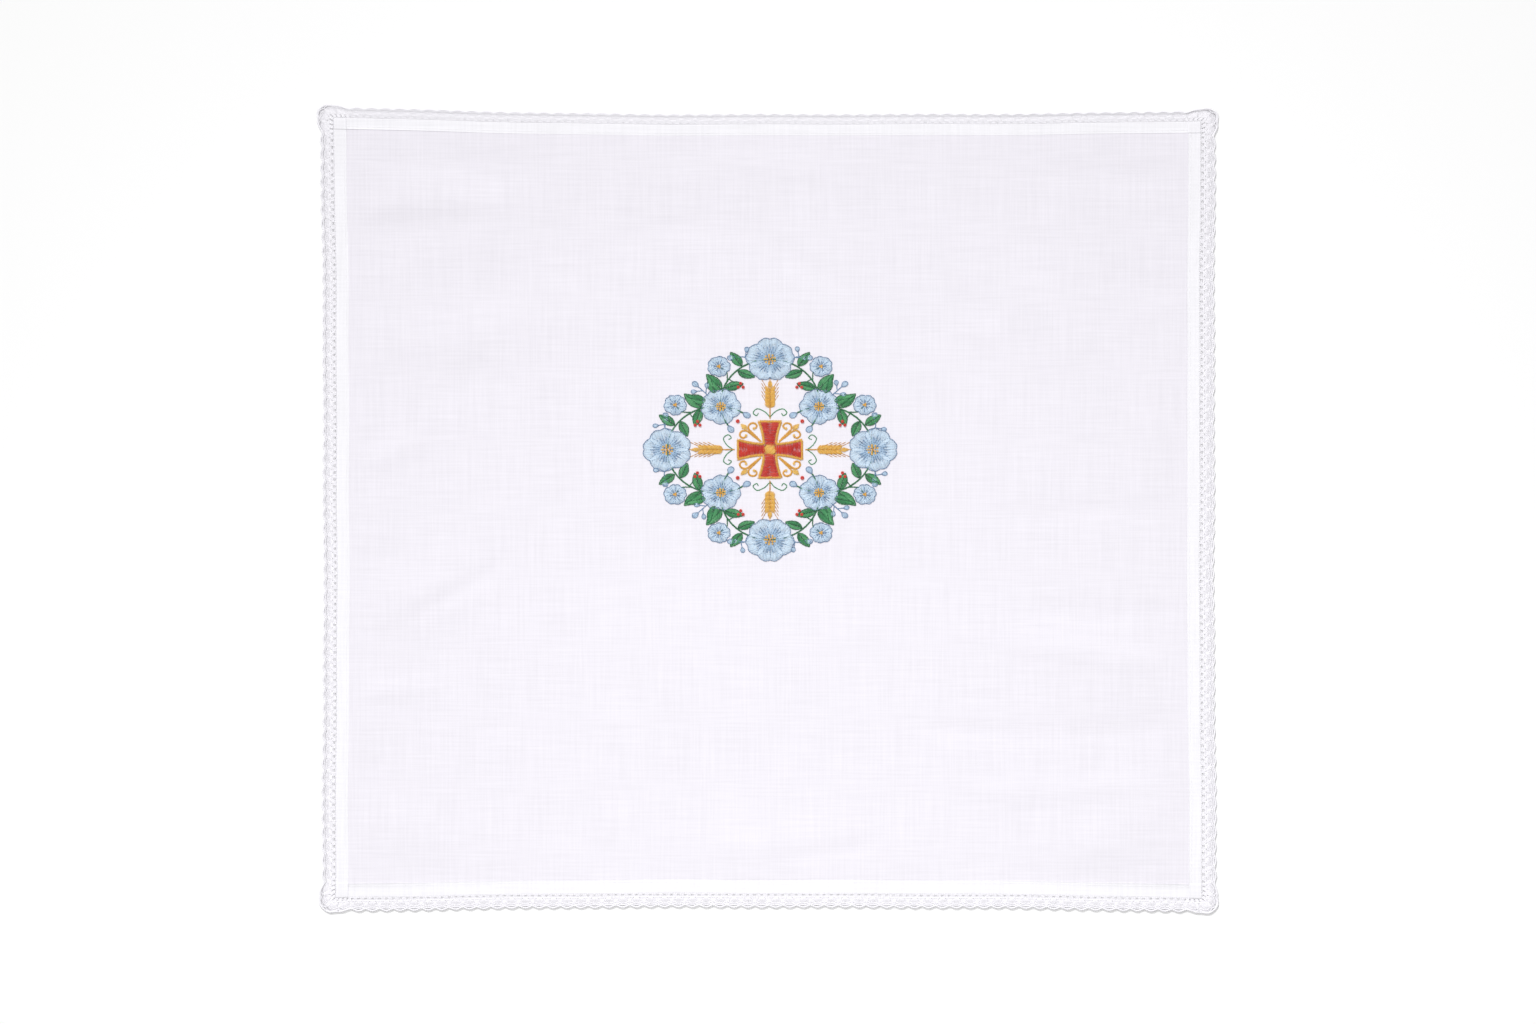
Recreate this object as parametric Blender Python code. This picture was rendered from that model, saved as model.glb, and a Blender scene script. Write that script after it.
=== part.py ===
"""Altar corporal: a hemmed linen cloth with a narrow crocheted lace edging, lying flat.

Units are metres. +X runs along the long side, +Y towards the upper edge, +Z up from the
surface that the cloth lies on. The finished cloth is 500 mm by 449 mm over the lace.
Sides are listed counter-clockwise as seen from above, each run from its first corner to
its last one.
"""

import math
from collections import namedtuple

import bmesh
import bpy
from mathutils import Vector

COLLECTION_NAME = "altar_corporal"

# Linen panel: the thicknesses are those of a starched cloth and of its turned hem.
FIELD_THICKNESS = 0.0010
HEM_THICKNESS = 0.0017
CORNER_THICKNESS = 0.0022
FOLD_ROUNDING = 0.0004
HEM_STEP = 0.0003
FIELD_COLUMNS = 40
FIELD_ROWS = 36
HEM_LINES = 3
SWELL_FADE = 0.018

# Lace edging: it lies against the hem with the clearance that separate pieces keep.
LACE_GAP = 0.0003
CORNER_REACH = 0.0090
CORNER_FULLNESS = 0.5
POINTS_PER_SCALLOP = 3
TURN_STEPS = 4

# One row per side. middle is the distance from the cloth's centre to the hem's edge at
# the side's middle, and the flares are how much further out its two ends lie. They grow
# with a power of the distance from the middle.
FLARE_POWER = 2.0
Side = namedtuple(
    "Side", "name out along middle flare_first flare_last hem lace scallops depth"
)
SIDES = (
    Side("bottom", (0, -1), (1, 0), 0.2129, 0.0024, 0.0029, 0.0075, 0.0082, 60, 0.0013),
    Side("right", (1, 0), (0, 1), 0.2396, 0.0014, 0.0007, 0.0068, 0.0086, 52, 0.0010),
    Side("top", (0, 1), (-1, 0), 0.2135, 0.0018, 0.0040, 0.0062, 0.0062, 58, 0.0008),
    Side("left", (-1, 0), (0, -1), 0.2390, 0.0018, 0.0008, 0.0069, 0.0080, 54, 0.0010),
)

# One row per corner, each at the end of the side with the same number. The lace bulges
# out past its first side and its second one where its fullness is eased round, and its
# outer edge turns on the radius.
Corner = namedtuple("Corner", "name bulge_first bulge_second radius")
CORNERS = (
    Corner("bottom_right", 0.0003, 0.0007, 0.0062),
    Corner("top_right", 0.0013, 0.0011, 0.0055),
    Corner("top_left", 0.0010, 0.0015, 0.0055),
    Corner("bottom_left", 0.0014, 0.0004, 0.0066),
)

# Cross-section of the lace from the hem outwards, as a share of its width, with its
# height between two scallops and at the middle of one.
LacePoint = namedtuple("LacePoint", "name across height_between height_middle")
LACE_SECTION = (
    LacePoint("inner_foot", 0.00, 0.0000, 0.0000),
    LacePoint("header_chain", 0.00, 0.0011, 0.0011),
    LacePoint("mesh_and_petals", 0.54, 0.0007, 0.0011),
    LacePoint("crescent_groove", 0.76, 0.0007, 0.0005),
    LacePoint("outer_cord", 0.89, 0.0012, 0.0014),
    LacePoint("outer_foot", 1.00, 0.0000, 0.0000),
)

# Soft swells of the cloth. Each is a long low hump with its centre, its half length and
# half width, its height and the angle of its length to +X in degrees.
Swell = namedtuple("Swell", "x y length width height angle")
SWELLS = (
    Swell(-0.166, 0.097, 0.060, 0.016, 0.0010, 8),
    Swell(-0.182, 0.172, 0.042, 0.018, 0.0009, -44),
    Swell(0.001, 0.190, 0.050, 0.013, 0.0006, 0),
    Swell(0.036, 0.147, 0.034, 0.014, 0.0009, -58),
    Swell(0.151, 0.107, 0.040, 0.017, 0.0009, -45),
    Swell(0.214, 0.044, 0.040, 0.013, 0.0007, 90),
    Swell(-0.196, -0.048, 0.036, 0.016, 0.0009, 20),
    Swell(0.182, -0.090, 0.046, 0.018, 0.0008, -20),
    Swell(0.198, -0.178, 0.044, 0.020, 0.0010, 25),
    Swell(0.009, -0.190, 0.050, 0.015, 0.0006, 0),
    Swell(-0.190, -0.180, 0.042, 0.016, 0.0007, -10),
    Swell(-0.020, -0.085, 0.090, 0.040, 0.0008, 8),
    Swell(0.000, 0.034, 0.075, 0.062, 0.0005, 0),
)

# Finishes: base colour in linear light and roughness.
LINEN_COLOUR = (0.88, 0.86, 0.93, 1.0)
LINEN_ROUGHNESS = 0.92
LACE_COLOUR = (0.90, 0.89, 0.93, 1.0)
LACE_ROUGHNESS = 0.85


def clear_scene():
    """Start from an empty scene."""
    for old_object in list(bpy.data.objects):
        bpy.data.objects.remove(old_object, do_unlink=True)


def smooth(share):
    """Ease from 0 to 1 as the share goes from 0 to 1."""
    share = min(max(share, 0.0), 1.0)
    return share * share * (3.0 - 2.0 * share)


def edge_distance(side, run):
    """Distance from the centre to a side's edge, at run -1 to 1 along that side."""
    flare = side.flare_first if run < 0.0 else side.flare_last
    return side.middle + flare * abs(run) ** FLARE_POWER


def cloth_point(u, v):
    """Map the square -1 to 1 both ways onto the cloth, whose four sides are hollow."""
    bottom, right, top, left = SIDES
    x_share = (u + 1.0) / 2.0
    y_share = (v + 1.0) / 2.0
    x = right.middle * x_share - left.middle * (1.0 - x_share)
    y = top.middle * y_share - bottom.middle * (1.0 - y_share)
    x += (edge_distance(right, v) - right.middle) * x_share
    x -= (edge_distance(left, -v) - left.middle) * (1.0 - x_share)
    y += (edge_distance(top, -u) - top.middle) * y_share
    y -= (edge_distance(bottom, u) - bottom.middle) * (1.0 - y_share)
    return Vector((x, y))


def side_point(side, run, outward):
    """A point beside a side of the cloth, a given distance outward from its edge."""
    along = Vector(side.along)
    out = Vector(side.out)
    square = along * run + out
    return cloth_point(square.x, square.y) + out * outward


def half_length(side):
    """Half of the straight length of a side."""
    return (side_point(side, 1.0, 0.0) - side_point(side, -1.0, 0.0)).length / 2.0


def field_share(x, y):
    """How freely the cloth can rise at a point: 0 in the hem, 1 well inside it."""
    bottom, right, top, left = SIDES
    inside = min(
        right.middle - right.hem - x,
        left.middle - left.hem + x,
        top.middle - top.hem - y,
        bottom.middle - bottom.hem + y,
    )
    return smooth(inside / SWELL_FADE)


def cloth_lift(x, y):
    """How far the soft swells lift the cloth off the surface at a point."""
    lift = 0.0
    for swell in SWELLS:
        turn = math.radians(swell.angle)
        dx = x - swell.x
        dy = y - swell.y
        along = (dx * math.cos(turn) + dy * math.sin(turn)) / swell.length
        across = (dy * math.cos(turn) - dx * math.sin(turn)) / swell.width
        lift += swell.height * math.exp(-along * along - across * across)
    return lift * field_share(x, y)


def grid_lines(first_hem, last_hem, length, inner_count):
    """Lines of the panel's grid along one direction, from 0 to 1 of its length.

    Each hem has its edge, a line at its rounded fold and one at the top of its inner
    step. The foot of the step is the first line of the field.
    """
    step = HEM_STEP / 2.0
    start = first_hem + step
    end = length - last_hem - step
    lines = [0.0, FOLD_ROUNDING, first_hem - step]
    for index in range(inner_count + 1):
        lines.append(start + (end - start) * index / inner_count)
    lines += [length - last_hem + step, length - FOLD_ROUNDING, length]
    return [line / length for line in lines]


def cloth_thickness(column, row, column_count, row_count):
    """Thickness of the panel at one crossing of its grid lines."""
    in_side_hem = min(column, column_count - 1 - column) < HEM_LINES
    in_long_hem = min(row, row_count - 1 - row) < HEM_LINES
    if in_side_hem and in_long_hem:
        thickness = CORNER_THICKNESS
    elif in_side_hem or in_long_hem:
        thickness = HEM_THICKNESS
    else:
        thickness = FIELD_THICKNESS
    if column in (0, column_count - 1) or row in (0, row_count - 1):
        thickness -= FOLD_ROUNDING
    return thickness


def make_linen_panel():
    """The cloth with its turned hem: a grid of top faces, drawn down to an underside."""
    bottom, right, top, left = SIDES
    columns = grid_lines(left.hem, right.hem, left.middle + right.middle, FIELD_COLUMNS)
    rows = grid_lines(bottom.hem, top.hem, bottom.middle + top.middle, FIELD_ROWS)
    column_count = len(columns)
    row_count = len(rows)

    shape = bmesh.new()
    bmesh.ops.create_grid(
        shape, x_segments=column_count - 1, y_segments=row_count - 1, size=1.0
    )
    for vertex in shape.verts:
        column = round((vertex.co.x + 1.0) / 2.0 * (column_count - 1))
        row = round((vertex.co.y + 1.0) / 2.0 * (row_count - 1))
        point = cloth_point(2.0 * columns[column] - 1.0, 2.0 * rows[row] - 1.0)
        thickness = cloth_thickness(column, row, column_count, row_count)
        vertex.co = (point.x, point.y, cloth_lift(point.x, point.y) + thickness)

    drawn = bmesh.ops.extrude_face_region(shape, geom=shape.faces[:], use_keep_orig=True)
    for item in drawn["geom"]:
        if isinstance(item, bmesh.types.BMVert):
            item.co.z = cloth_lift(item.co.x, item.co.y)
    bmesh.ops.recalc_face_normals(shape, faces=shape.faces[:])
    return finish_mesh("linen_panel", shape, "linen", LINEN_COLOUR, LINEN_ROUGHNESS)


def side_stations(side):
    """Stations of the lace along one side: inner point, outer point and scallop share."""
    reach = CORNER_REACH / half_length(side)
    steps = side.scallops * POINTS_PER_SCALLOP
    stations = []
    for step in range(steps + 1):
        run = (1.0 - reach) * (2.0 * step / steps - 1.0)
        bow = abs(math.sin(math.pi * step / POINTS_PER_SCALLOP))
        width = side.lace - side.depth * (1.0 - bow)
        inner = side_point(side, run, LACE_GAP)
        outer = side_point(side, run, width)
        stations.append((inner, outer, bow))
    return stations


def corner_stations(first, second, corner):
    """Stations of the lace where it is eased round the corner between two sides."""
    first_half = half_length(first)
    second_half = half_length(second)
    first_bulge = corner.bulge_first
    second_bulge = corner.bulge_second
    turn_first = 1.0 + (second.lace + second_bulge - corner.radius) / first_half
    turn_second = -1.0 - (first.lace + first_bulge - corner.radius) / second_half
    start = side_point(first, turn_first, first.lace + first_bulge)
    end = side_point(second, turn_second, second.lace + second_bulge)
    centre = start - Vector(first.out) * (start - end).dot(Vector(first.out))

    near_first = 1.0 - CORNER_REACH / 2.0 / first_half
    near_second = -1.0 + CORNER_REACH / 2.0 / second_half
    outers = [side_point(first, near_first, first.lace + first_bulge / 2.0), start]
    for step in range(1, TURN_STEPS):
        angle = math.radians(90.0) * step / TURN_STEPS
        to_start = (start - centre) * math.cos(angle)
        to_end = (end - centre) * math.sin(angle)
        outers.append(centre + to_start + to_end)
    outers += [end, side_point(second, near_second, second.lace + second_bulge / 2.0)]

    middle = len(outers) // 2
    stations = []
    for index, outer in enumerate(outers):
        back = CORNER_REACH * abs(index - middle) / (middle + 1)
        if index < middle:
            inner = side_point(first, 1.0 - back / first_half, LACE_GAP)
        elif index > middle:
            inner = side_point(second, -1.0 + back / second_half, LACE_GAP)
        else:
            inner = side_point(first, 1.0, LACE_GAP) + Vector(second.out) * LACE_GAP
        stations.append((inner, outer, CORNER_FULLNESS))
    return stations


def make_lace_edging():
    """The lace: one closed loft of its cross-section, round all four sides."""
    stations = []
    for index, side in enumerate(SIDES):
        following = SIDES[(index + 1) % len(SIDES)]
        stations += side_stations(side)
        stations += corner_stations(side, following, CORNERS[index])

    shape = bmesh.new()
    loops = []
    for inner, outer, bow in stations:
        loop = []
        for point in LACE_SECTION:
            place = inner.lerp(outer, point.across)
            rise = point.height_middle - point.height_between
            height = point.height_between + rise * bow
            loop.append(shape.verts.new((place.x, place.y, height)))
        loops.append(loop)
    for index, loop in enumerate(loops):
        following = loops[(index + 1) % len(loops)]
        for place in range(len(LACE_SECTION)):
            beside = (place + 1) % len(LACE_SECTION)
            shape.faces.new((loop[place], following[place], following[beside], loop[beside]))
    bmesh.ops.recalc_face_normals(shape, faces=shape.faces[:])
    return finish_mesh("lace_edging", shape, "lace", LACE_COLOUR, LACE_ROUGHNESS)


def make_material(name, colour, roughness):
    """A plain material with one Principled BSDF."""
    material = bpy.data.materials.new(name)
    material.use_nodes = True
    shader = material.node_tree.nodes["Principled BSDF"]
    shader.inputs["Base Color"].default_value = colour
    shader.inputs["Roughness"].default_value = roughness
    shader.inputs["Metallic"].default_value = 0.0
    return material


def finish_mesh(name, shape, material_name, colour, roughness):
    """Turn a finished shape into a named object with its material."""
    mesh = bpy.data.meshes.new(name)
    shape.to_mesh(mesh)
    shape.free()
    mesh.materials.append(make_material(material_name, colour, roughness))
    return bpy.data.objects.new(name, mesh)


def centre_on_origin(pieces):
    """Move the pieces together so that the cloth's own box is centred on the origin."""
    corners = [vertex.co for piece in pieces for vertex in piece.data.vertices]
    middle_x = (min(c.x for c in corners) + max(c.x for c in corners)) / 2.0
    middle_y = (min(c.y for c in corners) + max(c.y for c in corners)) / 2.0
    for piece in pieces:
        for vertex in piece.data.vertices:
            vertex.co.x -= middle_x
            vertex.co.y -= middle_y


def main():
    """Build the cloth and its lace, and gather them in their own collection."""
    clear_scene()
    pieces = [make_linen_panel(), make_lace_edging()]
    centre_on_origin(pieces)
    collection = bpy.data.collections.new(COLLECTION_NAME)
    bpy.context.scene.collection.children.link(collection)
    for piece in pieces:
        collection.objects.link(piece)


main()
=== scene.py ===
"""Dresses the altar corporal: linen cloth, crocheted lace, sewing and embroidery.

Every length is in metres, and MM turns millimetres into them. +X runs along the long side,
+Y towards the upper edge, +Z up from the surface that the cloth lies on. Points of the
needlework are complex numbers, x + iy, so that a turn is a product.
"""

import math
from collections import namedtuple

import bpy
import numpy as np
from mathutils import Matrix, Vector


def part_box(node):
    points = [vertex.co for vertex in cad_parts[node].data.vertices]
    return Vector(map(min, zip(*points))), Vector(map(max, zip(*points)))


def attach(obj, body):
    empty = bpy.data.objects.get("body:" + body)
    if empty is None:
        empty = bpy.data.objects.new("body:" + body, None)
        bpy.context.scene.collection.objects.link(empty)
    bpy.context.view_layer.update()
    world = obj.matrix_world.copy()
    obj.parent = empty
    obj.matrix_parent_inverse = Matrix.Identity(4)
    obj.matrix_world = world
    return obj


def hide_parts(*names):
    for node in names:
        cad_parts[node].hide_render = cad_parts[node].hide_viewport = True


bl_info = {
    "name": "Altar corporal",
    "version": (1, 0, 0),
    "blender": (4, 5, 0),
    "location": "3D View > Sidebar > Corporal",
    "description": "Hemmed linen cloth with a crocheted lace edging and embroidery",
    "category": "Add Mesh",
}

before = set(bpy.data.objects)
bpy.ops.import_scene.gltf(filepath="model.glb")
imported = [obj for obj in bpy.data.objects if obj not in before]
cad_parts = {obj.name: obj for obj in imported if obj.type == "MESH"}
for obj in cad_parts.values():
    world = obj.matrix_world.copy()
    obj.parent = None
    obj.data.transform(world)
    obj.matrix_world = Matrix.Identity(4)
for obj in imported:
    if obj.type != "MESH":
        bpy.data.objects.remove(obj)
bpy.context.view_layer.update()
MM = 0.001
BODY = "root"
LINEN_SOLID = "linen_panel"
LACE_SOLID = "lace_edging"

# One row per side, counter-clockwise as seen from above. middle is the distance from the
# cloth's centre to the hem's edge at the side's middle, and the flares are how much
# further out its two ends lie, growing with a power of the distance from the middle.
FLARE_POWER = 2.0
Side = namedtuple(
    "Side", "name out along middle flare_first flare_last hem lace scallops depth"
)
SIDES = (
    Side("bottom", -1j, 1, 212.9 * MM, 2.4 * MM, 2.9 * MM, 7.5 * MM, 8.2 * MM, 60, 1.3 * MM),
    Side("right", 1, 1j, 239.6 * MM, 1.4 * MM, 0.7 * MM, 6.8 * MM, 8.6 * MM, 52, 1.0 * MM),
    Side("top", 1j, -1, 213.5 * MM, 1.8 * MM, 4.0 * MM, 6.2 * MM, 6.2 * MM, 58, 0.8 * MM),
    Side("left", -1, -1j, 239.0 * MM, 1.8 * MM, 0.8 * MM, 6.9 * MM, 8.0 * MM, 54, 1.0 * MM),
)
BOTTOM, RIGHT, TOP, LEFT = SIDES

# One row per corner, at the end of the side with the same number: how far the lace
# bulges past its first and second side, and the radius that its outer edge turns on.
Corner = namedtuple("Corner", "name bulge_first bulge_second radius")
CORNERS = (
    Corner("bottom_right", 0.3 * MM, 0.7 * MM, 6.2 * MM),
    Corner("top_right", 1.3 * MM, 1.1 * MM, 5.5 * MM),
    Corner("top_left", 1.0 * MM, 1.5 * MM, 5.5 * MM),
    Corner("bottom_left", 1.4 * MM, 0.4 * MM, 6.6 * MM),
)
CORNER_REACH = 9.0 * MM
CORNER_REPEATS = 4
LACE_GAP = 0.3 * MM

# Soft swells of the cloth: centre, half length, half width, height, and the angle of the
# length to +X in degrees.
Swell = namedtuple("Swell", "x y length width height angle")
SWELLS = (
    Swell(-166 * MM, 97 * MM, 60 * MM, 16 * MM, 1.0 * MM, 8),
    Swell(-182 * MM, 172 * MM, 42 * MM, 18 * MM, 0.9 * MM, -44),
    Swell(1 * MM, 190 * MM, 50 * MM, 13 * MM, 0.6 * MM, 0),
    Swell(36 * MM, 147 * MM, 34 * MM, 14 * MM, 0.9 * MM, -58),
    Swell(151 * MM, 107 * MM, 40 * MM, 17 * MM, 0.9 * MM, -45),
    Swell(214 * MM, 44 * MM, 40 * MM, 13 * MM, 0.7 * MM, 90),
    Swell(-196 * MM, -48 * MM, 36 * MM, 16 * MM, 0.9 * MM, 20),
    Swell(182 * MM, -90 * MM, 46 * MM, 18 * MM, 0.8 * MM, -20),
    Swell(198 * MM, -178 * MM, 44 * MM, 20 * MM, 1.0 * MM, 25),
    Swell(9 * MM, -190 * MM, 50 * MM, 15 * MM, 0.6 * MM, 0),
    Swell(-190 * MM, -180 * MM, 42 * MM, 16 * MM, 0.7 * MM, -10),
    Swell(-20 * MM, -85 * MM, 90 * MM, 40 * MM, 0.8 * MM, 8),
    Swell(0 * MM, 34 * MM, 75 * MM, 62 * MM, 0.5 * MM, 0),
)
SWELL_FADE = 18 * MM

# Creases where the cloth was folded or handled: height above the cloth, with troughs
# below 0, half width, and the points that each runs through in millimetres.
Crease = namedtuple("Crease", "height width points")
CREASES = (
    Crease(0.30 * MM, 6 * MM, (-231 + 166j, -185 + 170j, -132 + 171j)),
    Crease(-0.31 * MM, 7 * MM, (-231 + 154j, -192 + 157j, -152 + 158j)),
    Crease(-0.36 * MM, 8 * MM, (-227 + 191j, -178 + 192j, -125 + 187j)),
    Crease(-0.36 * MM, 6 * MM, (-79 + 156j, -23 + 157j, 12 + 140j, 48 + 118j)),
    Crease(0.32 * MM, 6 * MM, (-227 + 20j, -189 + 41j)),
    Crease(-0.34 * MM, 7 * MM, (-178 + 59j, -155 + 85j)),
    Crease(-0.38 * MM, 5 * MM, (-203 - 63j, -171 - 45j, -139 - 24j)),
    Crease(0.34 * MM, 5 * MM, (-227 - 102j, -175 - 98j)),
    Crease(-0.34 * MM, 6 * MM, (188 + 134j, 231 + 117j)),
    Crease(-0.32 * MM, 7 * MM, (104 + 122j, 129 + 104j)),
    Crease(-0.34 * MM, 6 * MM, (150 + 187j, 224 + 183j)),
    Crease(-0.38 * MM, 5 * MM, (143 - 54j, 185 - 58j, 229 - 58j)),
    Crease(0.36 * MM, 6 * MM, (125 - 72j, 174 - 79j, 226 - 88j)),
    Crease(-0.36 * MM, 5 * MM, (76 - 121j, 146 - 125j, 231 - 123j)),
    Crease(0.28 * MM, 6 * MM, (107 - 158j, 171 - 156j, 231 - 151j)),
    Crease(-0.24 * MM, 6 * MM, (118 - 5j, 175 - 1j, 231 - 1j)),
    Crease(-0.36 * MM, 5 * MM, (-5 - 196j, 26 - 192j, 62 - 187j)),
    Crease(-0.32 * MM, 6 * MM, (-183 - 162j, -160 - 197j)),
)

# The hem's inner fold lifts the linen next to it, which hardly sinks again further in.
FIELD_REST = 0.36 * MM
REST_START = -0.1 * MM
REST_RISE = 0.25 * MM


class CorporalCloth(bpy.types.PropertyGroup):
    """Sizes and colours of the linen."""

    thickness: bpy.props.FloatProperty(
        name="Cloth thickness", description="Thickness of one layer of linen",
        default=0.16 * MM, unit="LENGTH", precision=5,
    )
    layer_gap: bpy.props.FloatProperty(
        name="Layer height", description="Height from one folded layer to the next",
        default=0.18 * MM, unit="LENGTH", precision=5,
    )
    grid: bpy.props.FloatProperty(
        name="Grid", description="Distance between the lines of the cloth's mesh",
        default=3.3 * MM, unit="LENGTH", precision=4,
    )
    crease_depth: bpy.props.FloatProperty(
        name="Crease depth", description="Scale of the height of the creases", default=1.7,
    )
    wrinkle: bpy.props.FloatProperty(
        name="Wrinkle height", description="Height of the fine unevenness of the linen",
        default=0.065 * MM, unit="LENGTH", precision=5,
    )
    thread_pitch: bpy.props.FloatProperty(
        name="Thread pitch", description="Distance from one woven thread to the next",
        default=0.55 * MM, unit="LENGTH", precision=5,
    )
    colour: bpy.props.FloatVectorProperty(
        name="Linen", description="Colour of the single layer of linen",
        default=(0.803, 0.778, 0.836), size=3, subtype="COLOR", min=0.0, max=1.0,
    )
    hem_colour: bpy.props.FloatVectorProperty(
        name="Hem", description="Colour of the linen where the hem lies three layers deep",
        default=(0.862, 0.852, 0.888), size=3, subtype="COLOR", min=0.0, max=1.0,
    )


class CorporalLace(bpy.types.PropertyGroup):
    """Sizes and colour of the lace edging."""

    length: bpy.props.FloatProperty(
        name="Scallop length", description="Length of one scallop of the pattern",
        default=8.3 * MM, unit="LENGTH", precision=4,
    )
    width: bpy.props.FloatProperty(
        name="Lace width", description="Width of the pattern out to the middle of the rim",
        default=7.6 * MM, unit="LENGTH", precision=4,
    )
    thread_radius: bpy.props.FloatProperty(
        name="Thread radius", description="Radius of the threads of the mesh",
        default=0.21 * MM, unit="LENGTH", precision=5,
    )
    rim_radius: bpy.props.FloatProperty(
        name="Rim radius", description="Radius of the corded rim",
        default=0.62 * MM, unit="LENGTH", precision=5,
    )
    header_radius: bpy.props.FloatProperty(
        name="Header radius", description="Radius of the cord next to the hem",
        default=0.33 * MM, unit="LENGTH", precision=5,
    )
    twist: bpy.props.FloatProperty(
        name="Twist", description="Length of one turn of a twisted cord",
        default=2.4 * MM, unit="LENGTH", precision=4,
    )
    uneven: bpy.props.FloatProperty(
        name="Unevenness", description="How far a thread strays from its place",
        default=0.16 * MM, unit="LENGTH", precision=5,
    )
    colour: bpy.props.FloatVectorProperty(
        name="Lace", description="Colour of the lace cotton",
        default=(0.905, 0.892, 0.93), size=3, subtype="COLOR", min=0.0, max=1.0,
    )


class CorporalNeedlework(bpy.types.PropertyGroup):
    """Sizes and colours of the embroidery and the sewing."""

    thread_radius: bpy.props.FloatProperty(
        name="Thread radius", description="Radius of the embroidery thread",
        default=0.215 * MM, unit="LENGTH", precision=5,
    )
    spacing: bpy.props.FloatProperty(
        name="Stitch spacing", description="Distance between neighbouring satin stitches",
        default=0.39 * MM, unit="LENGTH", precision=5,
    )
    sewing_radius: bpy.props.FloatProperty(
        name="Sewing thread radius", description="Radius of the white sewing thread",
        default=0.10 * MM, unit="LENGTH", precision=5,
    )
    blue: bpy.props.FloatVectorProperty(
        name="Blue", description="Middle tone of the blue thread",
        default=(0.36, 0.52, 0.70), size=3, subtype="COLOR", min=0.0, max=1.0,
    )
    green: bpy.props.FloatVectorProperty(
        name="Green", description="Middle tone of the green thread",
        default=(0.055, 0.30, 0.11), size=3, subtype="COLOR", min=0.0, max=1.0,
    )
    gold: bpy.props.FloatVectorProperty(
        name="Gold", description="Middle tone of the gold thread",
        default=(0.74, 0.38, 0.055), size=3, subtype="COLOR", min=0.0, max=1.0,
    )
    red: bpy.props.FloatVectorProperty(
        name="Red", description="Middle tone of the red thread",
        default=(0.60, 0.035, 0.022), size=3, subtype="COLOR", min=0.0, max=1.0,
    )


class CorporalStage(bpy.types.PropertyGroup):
    """Camera, light and floor."""

    view_width: bpy.props.FloatProperty(
        name="View width", description="Width of what the camera sees on the table",
        default=852.4 * MM, unit="LENGTH",
    )
    lens: bpy.props.FloatProperty(
        name="Lens", description="Focal length of the camera in millimetres", default=85.0,
    )
    floor_colour: bpy.props.FloatVectorProperty(
        name="Floor", description="Colour of the plain floor",
        default=(0.965, 0.965, 0.965), size=3, subtype="COLOR", min=0.0, max=1.0,
    )


def blend_to(low, high, share):
    """The value that lies a share of the way from low to high."""
    return low + (high - low) * share


def smooth(share):
    """Ease from 0 to 1 as the share goes from 0 to 1."""
    share = np.clip(share, 0.0, 1.0)
    return share * share * (3.0 - 2.0 * share)


def edge_distance(side, run):
    """Distance from the centre to a side's edge, at run -1 to 1 along that side."""
    flare = np.where(run < 0.0, side.flare_first, side.flare_last)
    return side.middle + flare * np.abs(run) ** FLARE_POWER


def frame_shift():
    """What brings this outline onto the CAD cloth, whose own box is centred."""
    low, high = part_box(LINEN_SOLID)
    own_x = RIGHT.middle + max(RIGHT.flare_first, RIGHT.flare_last)
    own_x -= LEFT.middle + max(LEFT.flare_first, LEFT.flare_last)
    own_y = TOP.middle + max(TOP.flare_first, TOP.flare_last)
    own_y -= BOTTOM.middle + max(BOTTOM.flare_first, BOTTOM.flare_last)
    return complex(low[0] + high[0] - own_x, low[1] + high[1] - own_y) / 2.0


SHIFT = frame_shift()


def cloth_point(u, v):
    """Map the square -1 to 1 both ways onto the cloth, as complex points."""
    x_share = (u + 1.0) / 2.0
    y_share = (v + 1.0) / 2.0
    x = blend_to(-edge_distance(LEFT, -v), edge_distance(RIGHT, v), x_share)
    y = blend_to(-edge_distance(BOTTOM, u), edge_distance(TOP, -u), y_share)
    return x + 1j * y + SHIFT


def side_point(side, run, outward):
    """Points beside a side of the cloth, a distance outward from its edge."""
    square = side.along * np.asarray(run, dtype=float) + side.out
    return cloth_point(square.real, square.imag) + side.out * outward


def half_length(side):
    """Half of the straight length of a side."""
    return abs(side_point(side, 1.0, 0.0) - side_point(side, -1.0, 0.0)) / 2.0


def uneven_lie(points):
    """Move points a little in or out, because no edge of the cloth lies quite true."""
    x = points.real
    y = points.imag
    aside = 0.16 * np.sin(y / (13.0 * MM) + 1.1) + 0.14 * np.sin(y / (29.0 * MM) + 0.4)
    up = 0.13 * np.sin(x / (15.0 * MM) + 2.0) + 0.15 * np.sin(x / (37.0 * MM) + 0.9)
    return points + MM * (aside * x / LEFT.middle + 1j * up * y / BOTTOM.middle)


def inside_hem(points):
    """Distance of points from the nearest hem's inner fold, inwards."""
    at = points - SHIFT
    inside = np.full(at.shape, np.inf)
    for index, side in enumerate(SIDES):
        run = (at * np.conj(side.along)).real / SIDES[index - 1].middle
        edge = edge_distance(side, np.clip(run, -1.0, 1.0))
        inside = np.minimum(inside, edge - side.hem - (at * np.conj(side.out)).real)
    return inside


def field_share(points):
    """How freely the cloth can rise: 0 in the hem, 1 well inside it."""
    return smooth(inside_hem(points) / SWELL_FADE)


def swell_lift(points):
    """Height of the soft swells, which the CAD cloth has too."""
    at = points - SHIFT
    lift = np.zeros(at.shape)
    for swell in SWELLS:
        turned = (at - complex(swell.x, swell.y)) * np.exp(-1j * math.radians(swell.angle))
        along = turned.real / swell.length
        across = turned.imag / swell.width
        lift += swell.height * np.exp(-along * along - across * across)
    return lift * field_share(points)


WAVE_COUNT = 36
WAVE_LENGTHS = (13 * MM, 48 * MM)
WAVE_SEED = 11


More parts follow.
